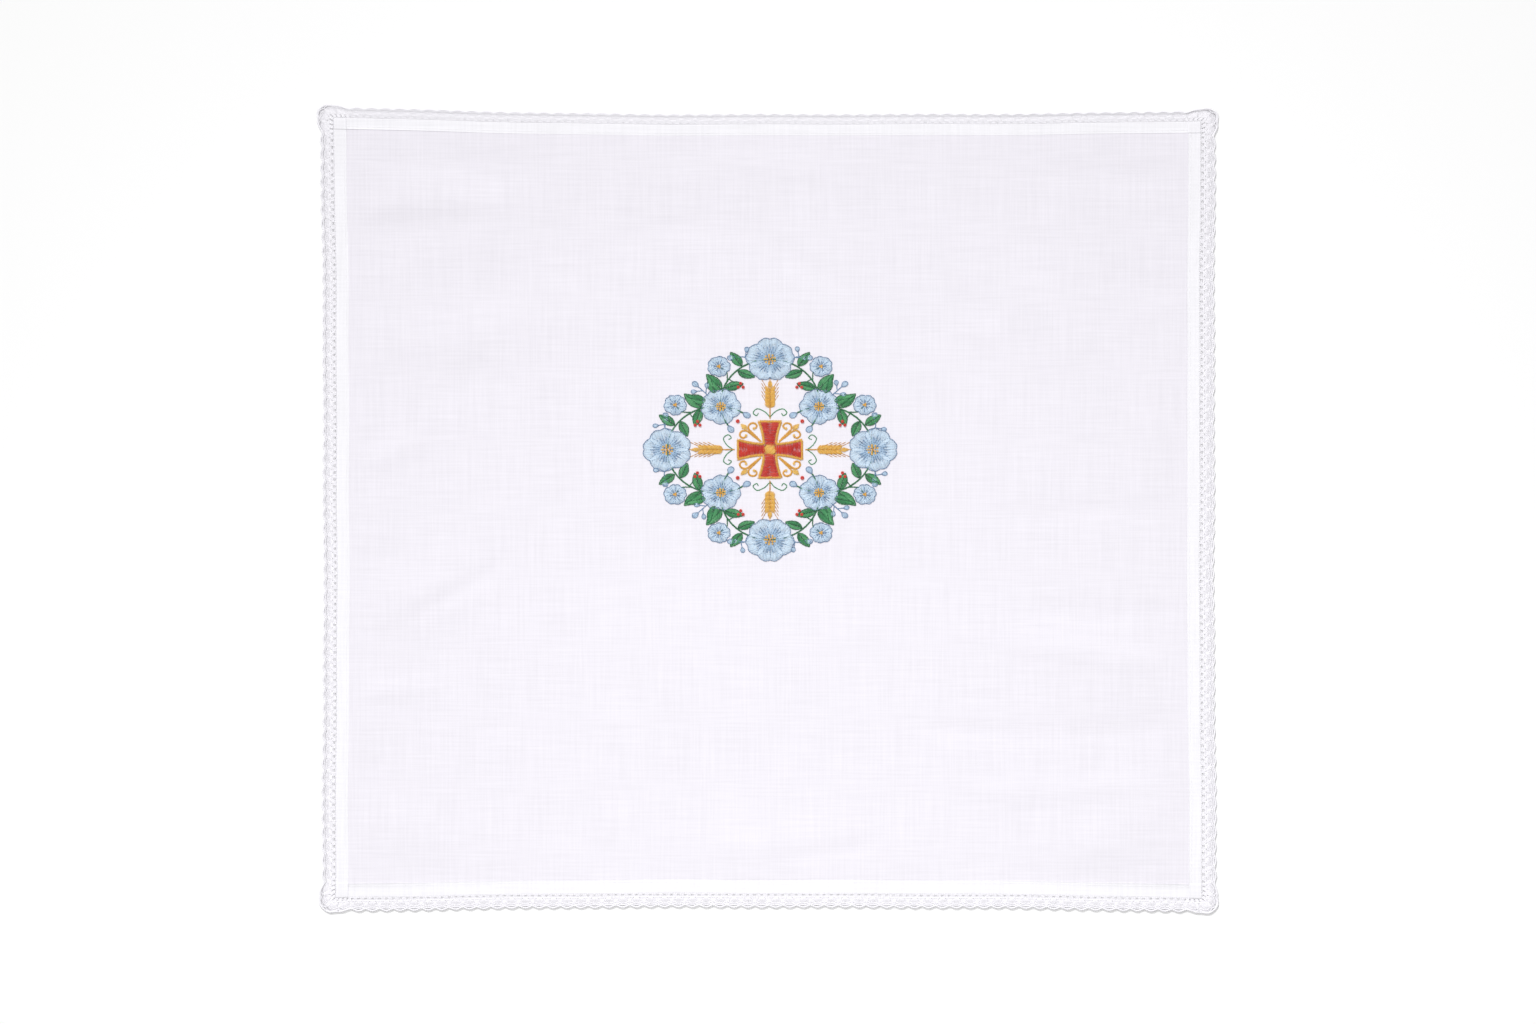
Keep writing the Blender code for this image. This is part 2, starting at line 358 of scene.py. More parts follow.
def fine_wrinkles(points, height):
    """Small waves of many directions, the same each run."""
    random = np.random.default_rng(WAVE_SEED)
    lengths = random.uniform(WAVE_LENGTHS[0], WAVE_LENGTHS[1], WAVE_COUNT)
    angles = random.uniform(0.0, math.pi, WAVE_COUNT)
    starts = random.uniform(0.0, 2.0 * math.pi, WAVE_COUNT)
    total = np.zeros(points.shape)
    for length, angle, start in zip(lengths, angles, starts):
        along = (points * np.exp(-1j * angle)).real
        total += np.sin(2.0 * math.pi * along / length + start) * length / WAVE_LENGTHS[1]
    return height * total / math.sqrt(WAVE_COUNT) * field_share(points)


CREASE_STEPS = 4
CREASE_END = 0.2


def crease_lift(points):
    """Height of the creases, each fading out at its two ends."""
    lift = np.zeros(points.shape)
    for crease in CREASES:
        line = smooth_line(np.array(crease.points) * MM, CREASE_STEPS)
        nearest = np.full(points.shape, np.inf)
        run = np.zeros(points.shape)
        for step, (start, end) in enumerate(zip(line[:-1], line[1:])):
            local = (points - start) / (end - start)
            share = np.clip(local.real, 0.0, 1.0)
            distance = np.abs(local - share) * abs(end - start)
            run = np.where(distance < nearest, (step + share) / (len(line) - 1), run)
            nearest = np.minimum(nearest, distance)
        fade = smooth(np.minimum(run, 1.0 - run) / CREASE_END)
        lift += crease.height * fade * np.exp(-((nearest / crease.width) ** 2))
    return lift * bpy.context.scene.corporal_cloth.crease_depth * field_share(points)


def field_lift(points):
    """How far the linen inside the hems stands off the surface."""
    cloth = bpy.context.scene.corporal_cloth
    lift = swell_lift(points) + crease_lift(points) + fine_wrinkles(points, cloth.wrinkle)
    lift += FIELD_REST * smooth((inside_hem(points) - REST_START) / REST_RISE)
    return np.maximum(lift, 0.0)


def cloth_height(points):
    """Top of the single layer of linen over the surface."""
    return field_lift(points) + bpy.context.scene.corporal_cloth.thickness


def stations_3d(points, heights):
    """Join complex points and heights into an array of x, y, z rows."""
    heights = np.broadcast_to(heights, points.shape)
    return np.stack([points.real, points.imag, heights], axis=-1)


def link(piece):
    """Put a piece in the scene."""
    bpy.context.scene.collection.objects.link(piece)
    return piece


def new_mesh(name, vertices, edges=(), faces=()):
    """A mesh object from arrays."""
    mesh = bpy.data.meshes.new(name)
    mesh.from_pydata(np.asarray(vertices).tolist(), np.asarray(edges).tolist(), faces)
    mesh.update()
    return link(bpy.data.objects.new(name, mesh))


def add_attribute(piece, name, values, kind="FLOAT"):
    """Store one value per vertex on a mesh."""
    attribute = piece.data.attributes.new(name, kind, "POINT")
    field = "vector" if kind == "FLOAT_VECTOR" else "value"
    attribute.data.foreach_set(field, np.asarray(values, dtype=np.float32).ravel())


def add_node(tree, kind, inputs=(), **settings):
    """Add a node, set it up, and link or set its inputs."""
    node = tree.nodes.new(kind)
    for key, value in settings.items():
        setattr(node, key, value)
    for key, value in dict(inputs).items():
        if isinstance(value, bpy.types.NodeSocket):
            tree.links.new(value, node.inputs[key])
        else:
            node.inputs[key].default_value = value
    return node


def calc(tree, operation, first, second=0.0, third=0.0):
    """One step of arithmetic in a node tree."""
    values = {0: first, 1: second, 2: third}
    return add_node(tree, "ShaderNodeMath", values, operation=operation).outputs[0]


def new_tree(name, kind, inputs, outputs):
    """A node tree with named inputs and outputs. Each input is name, type and default."""
    tree = bpy.data.node_groups.new(name, kind)
    for label, socket_type, default in inputs:
        socket = tree.interface.new_socket(name=label, in_out="INPUT", socket_type=socket_type)
        if default is not None:
            socket.default_value = default
    for label, socket_type in outputs:
        tree.interface.new_socket(name=label, in_out="OUTPUT", socket_type=socket_type)
    start = tree.nodes.new("NodeGroupInput")
    end = tree.nodes.new("NodeGroupOutput")
    return tree, start.outputs, end.inputs


GEOMETRY = "NodeSocketGeometry"
NUMBER = "NodeSocketFloat"
COUNT = "NodeSocketInt"
VECTOR = "NodeSocketVector"
MATERIAL = "NodeSocketMaterial"
OBJECT = "NodeSocketObject"


def named(tree, name, kind="FLOAT"):
    """A stored attribute, read by name in a Geometry Nodes tree."""
    node = add_node(tree, "GeometryNodeInputNamedAttribute", {"Name": name}, data_type=kind)
    return node.outputs["Attribute"]


def skin_and_finish(tree, curve, radius, sides, material, end):
    """Last nodes of a thread tree: a round skin, smooth shading and the material."""
    sized = add_node(tree, "GeometryNodeSetCurveRadius", {"Curve": curve, "Radius": radius})
    ring = add_node(
        tree, "GeometryNodeCurvePrimitiveCircle", {"Resolution": sides, "Radius": 1.0}
    )
    skin = add_node(
        tree, "GeometryNodeCurveToMesh",
        {"Curve": sized.outputs[0], "Profile Curve": ring.outputs[0], "Fill Caps": True},
    )
    if "Scale" in skin.inputs:
        radius_now = add_node(tree, "GeometryNodeInputRadius")
        tree.links.new(radius_now.outputs[0], skin.inputs["Scale"])
    smoothed = add_node(tree, "GeometryNodeSetShadeSmooth", {"Geometry": skin.outputs[0]})
    real = add_node(tree, "GeometryNodeRealizeInstances", {"Geometry": smoothed.outputs[0]})
    finished = add_node(
        tree, "GeometryNodeSetMaterial",
        {"Geometry": real.outputs[0], "Material": material},
    )
    tree.links.new(finished.outputs[0], end["Geometry"])


# A stitch rises on a full curve, and its thread is drawn thinner at its two ends.
STITCH_FULLNESS = 0.6
STITCH_END_RADIUS = 0.6


def stitch_tree():
    """Turns each edge into a raised stitch of round thread."""
    tree, start, end = new_tree(
        "Raised stitches", "GeometryNodeTree",
        (("Geometry", GEOMETRY, None), ("Thread Radius", NUMBER, 0.2 * MM),
         ("Sides", COUNT, 5), ("Steps", COUNT, 5), ("Material", MATERIAL, None)),
        (("Geometry", GEOMETRY),),
    )
    curve = add_node(tree, "GeometryNodeMeshToCurve", {"Mesh": start["Geometry"]})
    fine = add_node(
        tree, "GeometryNodeResampleCurve", {"Curve": curve.outputs[0], "Count": start["Steps"]}
    )
    share = add_node(tree, "GeometryNodeSplineParameter").outputs["Factor"]
    hump = calc(tree, "MULTIPLY", share, calc(tree, "SUBTRACT", 1.0, share))
    hump = calc(tree, "POWER", calc(tree, "MULTIPLY", hump, 4.0), STITCH_FULLNESS)
    rise = calc(tree, "MULTIPLY", hump, named(tree, "arch"))
    offset = add_node(tree, "ShaderNodeCombineXYZ", {"Z": rise})
    raised = add_node(
        tree, "GeometryNodeSetPosition",
        {"Geometry": fine.outputs[0], "Offset": offset.outputs[0]},
    )
    taper = calc(tree, "MULTIPLY_ADD", hump, 1.0 - STITCH_END_RADIUS, STITCH_END_RADIUS)
    radius = calc(tree, "MULTIPLY", taper, start["Thread Radius"])
    skin_and_finish(tree, raised.outputs[0], radius, start["Sides"], start["Material"], end)
    return tree


# The two strands of a cord, as shares of its radius: their own radius, and how far the
# middle of each lies from the cord's.
STRAND_RADIUS = 0.68
STRAND_THROW = 0.32


def cord_tree():
    """Turns a path into a cord of two strands twisted round each other."""
    tree, start, end = new_tree(
        "Twisted cord", "GeometryNodeTree",
        (("Geometry", GEOMETRY, None), ("Cord Radius", NUMBER, 0.5 * MM),
         ("Turn", NUMBER, 2.0 * MM), ("Step", NUMBER, 0.4 * MM), ("Sides", COUNT, 5),
         ("Material", MATERIAL, None)),
        (("Geometry", GEOMETRY),),
    )
    curve = add_node(tree, "GeometryNodeMeshToCurve", {"Mesh": start["Geometry"]})
    fine = add_node(
        tree, "GeometryNodeResampleCurve",
        {"Curve": curve.outputs[0], "Length": start["Step"]}, mode="LENGTH",
    )
    level = add_node(
        tree, "GeometryNodeSetCurveNormal", {"Curve": fine.outputs[0]}, mode="Z_UP"
    )
    strands = add_node(
        tree, "GeometryNodeDuplicateElements",
        {"Geometry": level.outputs[0], "Amount": 2}, domain="SPLINE",
    )
    length = add_node(tree, "GeometryNodeSplineParameter").outputs["Length"]
    turns = calc(tree, "DIVIDE", length, start["Turn"])
    half_turns = calc(tree, "MULTIPLY", strands.outputs["Duplicate Index"], 0.5)
    angle = calc(tree, "MULTIPLY", calc(tree, "ADD", turns, half_turns), 2.0 * math.pi)
    strand_radius = calc(tree, "MULTIPLY", start["Cord Radius"], STRAND_RADIUS)
    throw = calc(tree, "MULTIPLY", start["Cord Radius"], STRAND_THROW)
    normal = add_node(tree, "GeometryNodeInputNormal").outputs[0]
    aside = add_node(
        tree, "ShaderNodeVectorMath",
        {0: normal, "Scale": calc(tree, "MULTIPLY", throw, calc(tree, "COSINE", angle))},
        operation="SCALE",
    )
    upward = add_node(
        tree, "ShaderNodeCombineXYZ",
        {"Z": calc(tree, "MULTIPLY", throw, calc(tree, "SINE", angle))},
    )
    offset = add_node(tree, "ShaderNodeVectorMath", {0: aside.outputs[0], 1: upward.outputs[0]})
    moved = add_node(
        tree, "GeometryNodeSetPosition",
        {"Geometry": strands.outputs[0], "Offset": offset.outputs[0]},
    )
    skin_and_finish(
        tree, moved.outputs[0], strand_radius, start["Sides"], start["Material"], end
    )
    return tree


# How quickly the lace threads stray from their places, and how much less they do so
# up and down.
STRAY_FINENESS = 260.0
STRAY_UPWARD = 0.3


def lace_tree():
    """Repeats a scallop of threads and lays it along the stations of the edge.

    A station is a vertex on the hem's side of the lace that also knows its outer point.
    The stations begin one scallop before the first one and end one after the last.
    """
    tree, start, end = new_tree(
        "Crocheted lace", "GeometryNodeTree",
        (("Geometry", GEOMETRY, None), ("Scallop", OBJECT, None), ("Repeats", COUNT, 60),
         ("Stations", COUNT, 4), ("Scallop Length", NUMBER, 8.3 * MM),
         ("Lace Width", NUMBER, 7.6 * MM), ("Unevenness", NUMBER, 0.3 * MM),
         ("Seed", NUMBER, 1.0), ("Sides", COUNT, 4), ("Material", MATERIAL, None)),
        (("Geometry", GEOMETRY),),
    )
    scallop = add_node(tree, "GeometryNodeObjectInfo", {"Object": start["Scallop"]})
    pace = add_node(tree, "ShaderNodeCombineXYZ", {"X": start["Scallop Length"]})
    row = add_node(
        tree, "GeometryNodeMeshLine", {"Count": start["Repeats"], "Offset": pace.outputs[0]}
    )
    copies = add_node(
        tree, "GeometryNodeInstanceOnPoints",
        {"Points": row.outputs[0], "Instance": scallop.outputs["Geometry"]},
    )
    strip = add_node(tree, "GeometryNodeRealizeInstances", {"Geometry": copies.outputs[0]})

    position = add_node(tree, "GeometryNodeInputPosition").outputs[0]
    parts = add_node(tree, "ShaderNodeSeparateXYZ", {0: position}).outputs
    repeats = calc(tree, "DIVIDE", parts["X"], start["Scallop Length"])
    place = calc(tree, "MULTIPLY", calc(tree, "ADD", repeats, 1.0), start["Stations"])
    before = calc(tree, "FLOOR", place)
    between = calc(tree, "SUBTRACT", place, before)
    after = calc(tree, "ADD", before, 1.0)

    edges = []
    for source in (position, named(tree, "outer", "FLOAT_VECTOR")):
        ends = []
        for index in (before, after):
            sample = add_node(
                tree, "GeometryNodeSampleIndex",
                {"Geometry": start["Geometry"], "Index": index}, data_type="FLOAT_VECTOR",
            )
            tree.links.new(source, sample.inputs["Value"])
            ends.append(sample.outputs[0])
        edges.append(mix_vectors(tree, ends[0], ends[1], between))
    across = calc(tree, "DIVIDE", parts["Y"], start["Lace Width"])
    flat = mix_vectors(tree, edges[0], edges[1], across)
    upward = add_node(tree, "ShaderNodeCombineXYZ", {"Z": parts["Z"]})
    laid = add_node(tree, "ShaderNodeVectorMath", {0: flat, 1: upward.outputs[0]})
    bent = add_node(
        tree, "GeometryNodeSetPosition",
        {"Geometry": strip.outputs[0], "Position": laid.outputs[0]},
    )

    stray = add_node(
        tree, "ShaderNodeTexNoise",
        {"W": start["Seed"], "Scale": STRAY_FINENESS, "Detail": 1.0},
        noise_dimensions="4D",
    )
    centred = add_node(
        tree, "ShaderNodeVectorMath", {0: stray.outputs["Color"], 1: (0.5, 0.5, 0.5)},
        operation="SUBTRACT",
    )
    level = add_node(
        tree, "ShaderNodeVectorMath", {0: centred.outputs[0], 1: (1.0, 1.0, STRAY_UPWARD)},
        operation="MULTIPLY",
    )
    moved = add_node(
        tree, "ShaderNodeVectorMath", {0: level.outputs[0], "Scale": start["Unevenness"]},
        operation="SCALE",
    )
    strayed = add_node(
        tree, "GeometryNodeSetPosition",
        {"Geometry": bent.outputs[0], "Offset": moved.outputs[0]},
    )
    curve = add_node(tree, "GeometryNodeMeshToCurve", {"Mesh": strayed.outputs[0]})
    skin_and_finish(
        tree, curve.outputs[0], named(tree, "radius"), start["Sides"], start["Material"], end
    )
    return tree


def mix_vectors(tree, first, second, share):
    """Blend two vectors in a node tree.

    The Mix node has sockets of the same name for each kind of value, so they are
    found by number.
    """
    node = add_node(tree, "ShaderNodeMix", data_type="VECTOR")
    tree.links.new(share, node.inputs[0])
    tree.links.new(first, node.inputs[4])
    tree.links.new(second, node.inputs[5])
    return node.outputs[1]


KNOT_LEAN = 0.2


def knot_tree():
    """Sets a knot on each point, each turned its own way."""
    tree, start, end = new_tree(
        "Knots", "GeometryNodeTree",
        (("Geometry", GEOMETRY, None), ("Knot", OBJECT, None), ("Seed", COUNT, 1),
         ("Material", MATERIAL, None)),
        (("Geometry", GEOMETRY),),
    )
    knot = add_node(tree, "GeometryNodeObjectInfo", {"Object": start["Knot"]})
    turn = add_node(
        tree, "FunctionNodeRandomValue",
        {"Min": (-KNOT_LEAN, -KNOT_LEAN, 0.0),
         "Max": (KNOT_LEAN, KNOT_LEAN, 2.0 * math.pi), "Seed": start["Seed"]},
        data_type="FLOAT_VECTOR",
    )
    copies = add_node(
        tree, "GeometryNodeInstanceOnPoints",
        {"Points": start["Geometry"], "Instance": knot.outputs["Geometry"]},
    )
    tree.links.new(turn.outputs[0], copies.inputs["Rotation"])
    tree.links.new(named(tree, "size"), copies.inputs["Scale"])
    real = add_node(tree, "GeometryNodeRealizeInstances", {"Geometry": copies.outputs[0]})
    finished = add_node(
        tree, "GeometryNodeSetMaterial",
        {"Geometry": real.outputs[0], "Material": start["Material"]},
    )
    tree.links.new(finished.outputs[0], end["Geometry"])
    return tree


def grow(piece, tree, values):
    """Run a Geometry Nodes tree on a piece and keep the result as its plain mesh."""
    modifier = piece.modifiers.new(tree.name, "NODES")
    modifier.node_group = tree
    for name, value in values.items():
        modifier[tree.interface.items_tree[name].identifier] = value
    bpy.context.view_layer.update()
    graph = bpy.context.evaluated_depsgraph_get()
    mesh = bpy.data.meshes.new_from_object(piece.evaluated_get(graph))
    piece.modifiers.clear()
    skeleton = piece.data
    piece.data = mesh
    mesh.name = piece.name
    bpy.data.meshes.remove(skeleton)
    return piece


def new_material(name):
    """A material, its node tree, its shader and its Object coordinates."""
    material = bpy.data.materials.new(name)
    material.use_nodes = True
    tree = material.node_tree
    shader = tree.nodes["Principled BSDF"]
    place = add_node(tree, "ShaderNodeTexCoord").outputs["Object"]
    return material, tree, shader, place


def add_group(tree, group, inputs):
    """Place a shared effect in a material."""
    node = tree.nodes.new("ShaderNodeGroup")
    node.node_tree = group
    for key, value in inputs.items():
        if isinstance(value, bpy.types.NodeSocket):
            tree.links.new(value, node.inputs[key])
        else:
            node.inputs[key].default_value = value
    return node.outputs


def streak(tree, place, stretch, detail=2.0):
    """Noise that is drawn out along one direction."""
    scaled = add_node(tree, "ShaderNodeVectorMath", {0: place, 1: stretch}, operation="MULTIPLY")
    noise = add_node(
        tree, "ShaderNodeTexNoise",
        {"Vector": scaled.outputs[0], "Scale": 1.0, "Detail": detail, "Roughness": 0.6},
    )
    return calc(tree, "SUBTRACT", noise.outputs[0], 0.5)


# Slubs are drawn out along the warp and the weft, and the clouds are broad and even.
# The shares say how much clouds, threads and slubs show; the threads' share is painted shade that
# darkens the gaps between threads. The sharpness is how abruptly one thread gives way to the other
# where they cross.
WARP_SLUBS = (900.0, 26.0, 1.0)
WEFT_SLUBS = (30.0, 900.0, 1.0)
BROAD_CLOUDS = (60.0, 60.0, 1.0)
CLOUD_SHARE = 0.28
WEAVE_GAP_PAINTED_SHADE = 0.06
SLUB_HEIGHT = 0.8
CROSSING_SHARPNESS = 2.0


def weave_group():
    """Plain weave: thread height, uneven shade and thickness, and painted shade between threads.
    """
    tree, start, end = new_tree(
        "Plain weave", "ShaderNodeTree",
        (("Vector", VECTOR, None), ("Pitch", NUMBER, 0.55 * MM), ("Slub", NUMBER, 0.1)),
        (("Shade", NUMBER), ("Height", NUMBER)),
    )
    parts = add_node(tree, "ShaderNodeSeparateXYZ", {0: start["Vector"]}).outputs
    waves = []
    for axis in ("X", "Y"):
        turn = calc(tree, "MULTIPLY", calc(tree, "DIVIDE", parts[axis], start["Pitch"]), math.pi)
        waves.append(calc(tree, "SINE", turn))
    warp_round = calc(tree, "ABSOLUTE", waves[0])
    weft_round = calc(tree, "ABSOLUTE", waves[1])
    checks = calc(tree, "MULTIPLY", waves[0], waves[1])
    over = calc(tree, "MULTIPLY_ADD", checks, CROSSING_SHARPNESS, 0.5)
    over = calc(tree, "MINIMUM", calc(tree, "MAXIMUM", over, 0.0), 1.0)
    difference = calc(tree, "SUBTRACT", warp_round, weft_round)
    threads = calc(tree, "MULTIPLY_ADD", difference, over, weft_round)
    warp = streak(tree, start["Vector"], WARP_SLUBS)
    weft = streak(tree, start["Vector"], WEFT_SLUBS)
    slubs = calc(tree, "ADD", warp, weft)
    broad = streak(tree, start["Vector"], BROAD_CLOUDS, 3.0)
    uneven = calc(tree, "MULTIPLY_ADD", broad, CLOUD_SHARE, slubs)
    shade = calc(tree, "MULTIPLY_ADD", uneven, start["Slub"], 1.0)
    # Painted shade: the thread crowns are made lighter and the gaps between threads darker, on top
    # of the slubs' own tone.
    tree.links.new(calc(tree, "MULTIPLY_ADD", threads, WEAVE_GAP_PAINTED_SHADE, shade), end["Shade"])
    tree.links.new(calc(tree, "MULTIPLY_ADD", slubs, SLUB_HEIGHT, threads), end["Height"])
    return tree


def fibre_group():
    """Spun thread: a fine uneven shade and the height of its fibres."""
    tree, start, end = new_tree(
        "Spun fibre", "ShaderNodeTree",
        (("Vector", VECTOR, None), ("Fineness", NUMBER, 4000.0), ("Unevenness", NUMBER, 0.1)),
        (("Shade", NUMBER), ("Height", NUMBER)),
    )
    fine = add_node(
        tree, "ShaderNodeTexNoise",
        {"Vector": start["Vector"], "Scale": start["Fineness"], "Detail": 2.0},
    )
    centred = calc(tree, "SUBTRACT", fine.outputs[0], 0.5)
    shade = calc(tree, "MULTIPLY", centred, start["Unevenness"])
    tree.links.new(calc(tree, "ADD", shade, 1.0), end["Shade"])
    tree.links.new(centred, end["Height"])
    return tree


def shaded(tree, colour, shade):
    """A colour, made lighter or darker by a shade around 1."""
    node = add_node(tree, "ShaderNodeVectorMath", {"Scale": shade}, operation="SCALE")
    if isinstance(colour, bpy.types.NodeSocket):
        tree.links.new(colour, node.inputs[0])
    else:
        node.inputs[0].default_value = colour[:3]
    return node.outputs[0]


def add_bump(tree, shader, height, distance, strength=1.0):
    """Raise a surface by a height."""
    bump = add_node(
        tree, "ShaderNodeBump", {"Strength": strength, "Distance": distance, "Height": height}
    )
    tree.links.new(bump.outputs[0], shader.inputs["Normal"])


def linen_material(weave):
    """Linen: lilac-white where it is one layer, whiter where the hem is three."""
    cloth = bpy.context.scene.corporal_cloth
    material, tree, shader, place = new_material("linen")
    woven = add_group(
        tree, weave, {"Vector": place, "Pitch": cloth.thread_pitch, "Slub": 0.13}
    )
    layers = add_node(tree, "ShaderNodeAttribute", attribute_name="hem").outputs["Fac"]
    mixed = add_node(tree, "ShaderNodeMix", data_type="RGBA")
    tree.links.new(layers, mixed.inputs[0])
    mixed.inputs[6].default_value = (*cloth.colour, 1.0)
    mixed.inputs[7].default_value = (*cloth.hem_colour, 1.0)
    # The weave's shade is the slubs' own tone plus painted shade in the gaps between threads.
    tree.links.new(shaded(tree, mixed.outputs[2], woven["Shade"]), shader.inputs["Base Color"])
    shader.inputs["Roughness"].default_value = 0.9
    shader.inputs["Specular IOR Level"].default_value = 0.25
    shader.inputs["Sheen Weight"].default_value = 0.15
    shader.inputs["Sheen Roughness"].default_value = 0.5
    add_bump(tree, shader, woven["Height"], 0.07 * MM, 0.5)
    return material


def cotton_material(fibre, name, colour):
    """White cotton thread of the lace and the sewing."""
    material, tree, shader, place = new_material(name)
    spun = add_group(tree, fibre, {"Vector": place, "Fineness": 2600.0, "Unevenness": 0.12})
    tree.links.new(shaded(tree, colour, spun["Shade"]), shader.inputs["Base Color"])
    shader.inputs["Roughness"].default_value = 0.8
    shader.inputs["Specular IOR Level"].default_value = 0.3
    shader.inputs["Sheen Weight"].default_value = 0.2
    shader.inputs["Sheen Roughness"].default_value = 0.4
    add_bump(tree, shader, spun["Height"], 0.08 * MM, 0.7)
    return material


def silk_material(fibre, name, tones):
    """Shiny embroidery thread whose tone runs from dark through middle to light."""
    material, tree, shader, place = new_material(name)
    tone = add_node(tree, "ShaderNodeAttribute", attribute_name="tone").outputs["Fac"]
    ramp = add_node(tree, "ShaderNodeValToRGB", {0: tone})
    points = ramp.color_ramp.elements
    points.new(0.5)
    for point, colour in zip(points, tones):
        point.color = (*colour, 1.0)
    spun = add_group(tree, fibre, {"Vector": place, "Fineness": 3200.0, "Unevenness": 0.25})
    tree.links.new(shaded(tree, ramp.outputs[0], spun["Shade"]), shader.inputs["Base Color"])
    shader.inputs["Roughness"].default_value = 0.42
    shader.inputs["Specular IOR Level"].default_value = 0.45
    shader.inputs["Sheen Weight"].default_value = 0.1
    add_bump(tree, shader, spun["Height"], 0.05 * MM, 0.6)
    return material


# Profile of one turned hem, from its raw edge through both folds to the field. inset is
# the distance from the cloth's edge, and the other columns say how much of the point lies
# in the bottom, middle and top layer.
FoldPoint = namedtuple("FoldPoint", "inset bottom middle top")
RAW_EDGE_INSET = 1.2 * MM
FOLD_STEPS = 3
FLAT_BESIDE_FOLD = 0.35 * MM
CLIMB_OUTSIDE = 0.15 * MM
CLIMB_FOOT = 0.05 * MM
CLIMB_INSIDE = 0.2 * MM
LINES_PAST_STACK = 2
LINES_PAST_HEM = 3


def hem_profile(hem, layer_gap):
    """The points of one turned hem."""
    inner_fold = layer_gap / 2.0
    fold_start = hem - inner_fold
    points = [FoldPoint(inset, 0.0, 1.0, 0.0) for inset in (RAW_EDGE_INSET, fold_start / 2.0)]
    for step in range(FOLD_STEPS):
        angle = math.pi * step / FOLD_STEPS
        upper = (1.0 - math.cos(angle)) / 2.0
        inset = fold_start + inner_fold * math.sin(angle)
        points.append(FoldPoint(inset, 0.0, 1.0 - upper, upper))
    for inset in (fold_start, fold_start - FLAT_BESIDE_FOLD, hem / 2.0,
                  layer_gap + FLAT_BESIDE_FOLD):
        points.append(FoldPoint(inset, 0.0, 0.0, 1.0))
    for step in range(FOLD_STEPS):
        angle = math.pi * step / FOLD_STEPS
        lower = (1.0 - math.cos(angle)) / 2.0
        inset = layer_gap - layer_gap * math.sin(angle)
        points.append(FoldPoint(inset, lower, 0.0, 1.0 - lower))
    for inset in (layer_gap, hem / 2.0, hem - CLIMB_OUTSIDE, hem + CLIMB_FOOT,
                  hem + CLIMB_INSIDE, hem + 3.0 * CLIMB_INSIDE):
        points.append(FoldPoint(inset, 1.0, 0.0, 0.0))
    return points


GridLines = namedtuple("GridLines", "shares layers stacked white")


def folded_lines(first_hem, last_hem, length, cloth):
    """Lines of the cloth's grid along one direction, with both hems folded.

    Gives their places as shares of the length, their layers, whether a hem that crosses
    them is three layers deep there, and whether they show the hem's colour.
    """
    first = hem_profile(first_hem, cloth.layer_gap)
    last = hem_profile(last_hem, cloth.layer_gap)
    start = first[-1].inset
    end = length - last[-1].inset
    field_steps = round((end - start) / cloth.grid)
    places = [point.inset for point in first]
    places += [blend_to(start, end, step / field_steps) for step in range(1, field_steps)]
    places += [length - point.inset for point in reversed(last)]
    field = [FoldPoint(0.0, 1.0, 0.0, 0.0)] * (field_steps - 1)
    layers = np.array([point[1:] for point in first + field + list(reversed(last))])
    from_end = np.minimum(np.arange(len(places)), np.arange(len(places))[::-1])
    stacked = (from_end < len(first) - LINES_PAST_STACK).astype(float)
    white = (from_end < len(first) - LINES_PAST_HEM).astype(float)
    return GridLines(np.array(places) / length, layers, stacked, white)


# Where two hems cross, the layers above the third lie pressed together.
LOOSE_LAYERS = 2.0
PRESSED_GAP = 0.3
PRESSED_THICKNESS = 0.35


def layer_height(layer, layer_gap):
    """Height of a layer, counted from the lowest as 0."""
    pressed = PRESSED_GAP * np.maximum(layer - LOOSE_LAYERS, 0.0)
    return (np.minimum(layer, LOOSE_LAYERS) + pressed) * layer_gap


def give_body(piece, thickness, loose):
    """Thicken a sheet, less where the layers lie pressed together."""
    group = piece.vertex_groups.new(name="loose")
    group.add(np.flatnonzero(loose).tolist(), 1.0, "REPLACE")
    body = piece.modifiers.new("Cloth body", "SOLIDIFY")
    body.thickness = thickness
    body.offset = 0.0
    body.vertex_group = group.name
    body.thickness_vertex_group = PRESSED_THICKNESS
    bpy.context.view_layer.update()
    graph = bpy.context.evaluated_depsgraph_get()
    mesh = bpy.data.meshes.new_from_object(piece.evaluated_get(graph))
    piece.modifiers.clear()
    piece.data = mesh
    piece.vertex_groups.clear()


def make_cloth():
    """The linen, folded into its double hem on all four sides with square corners."""
    cloth = bpy.context.scene.corporal_cloth
    width = LEFT.middle + RIGHT.middle
    depth = BOTTOM.middle + TOP.middle
    columns = folded_lines(LEFT.hem, RIGHT.hem, width, cloth)
    rows = folded_lines(BOTTOM.hem, TOP.hem, depth, cloth)

    u, v = np.meshgrid(2.0 * columns.shares - 1.0, 2.0 * rows.shares - 1.0)
    flat = cloth_point(u, v)
    level = (rows.layers[:, 1] + 2.0 * rows.layers[:, 2])[:, None]
    stack = (1.0 + 2.0 * rows.stacked)[:, None]
    bottom, middle, top = (columns.layers[None, :, index] for index in range(3))
    layer = bottom * level + middle * (stack + level) + top * (3.0 * stack - 1.0 - level)
    height = layer_height(layer, cloth.layer_gap) + cloth.thickness / 2.0
    vertices = stations_3d(uneven_lie(flat), height + field_lift(flat)).reshape(-1, 3)

    row_count, column_count = flat.shape
    index = np.arange(row_count * column_count).reshape(row_count, column_count)
    corners = (index[:-1, :-1], index[:-1, 1:], index[1:, 1:], index[1:, :-1])
    faces = np.stack([corner.ravel() for corner in corners], axis=-1).tolist()
    piece = new_mesh("linen_cloth", vertices, faces=faces)
    add_attribute(piece, "hem", np.maximum(columns.white[None, :], rows.white[:, None]))
    piece.data.shade_smooth()
    give_body(piece, cloth.thickness, columns.stacked[None, :] * rows.stacked[:, None] < 0.5)
    return piece


# The lace comes out to its full width within this share of the way from the last
# scallop of a side to the corner's turn.
CORNER_EASE = 0.625


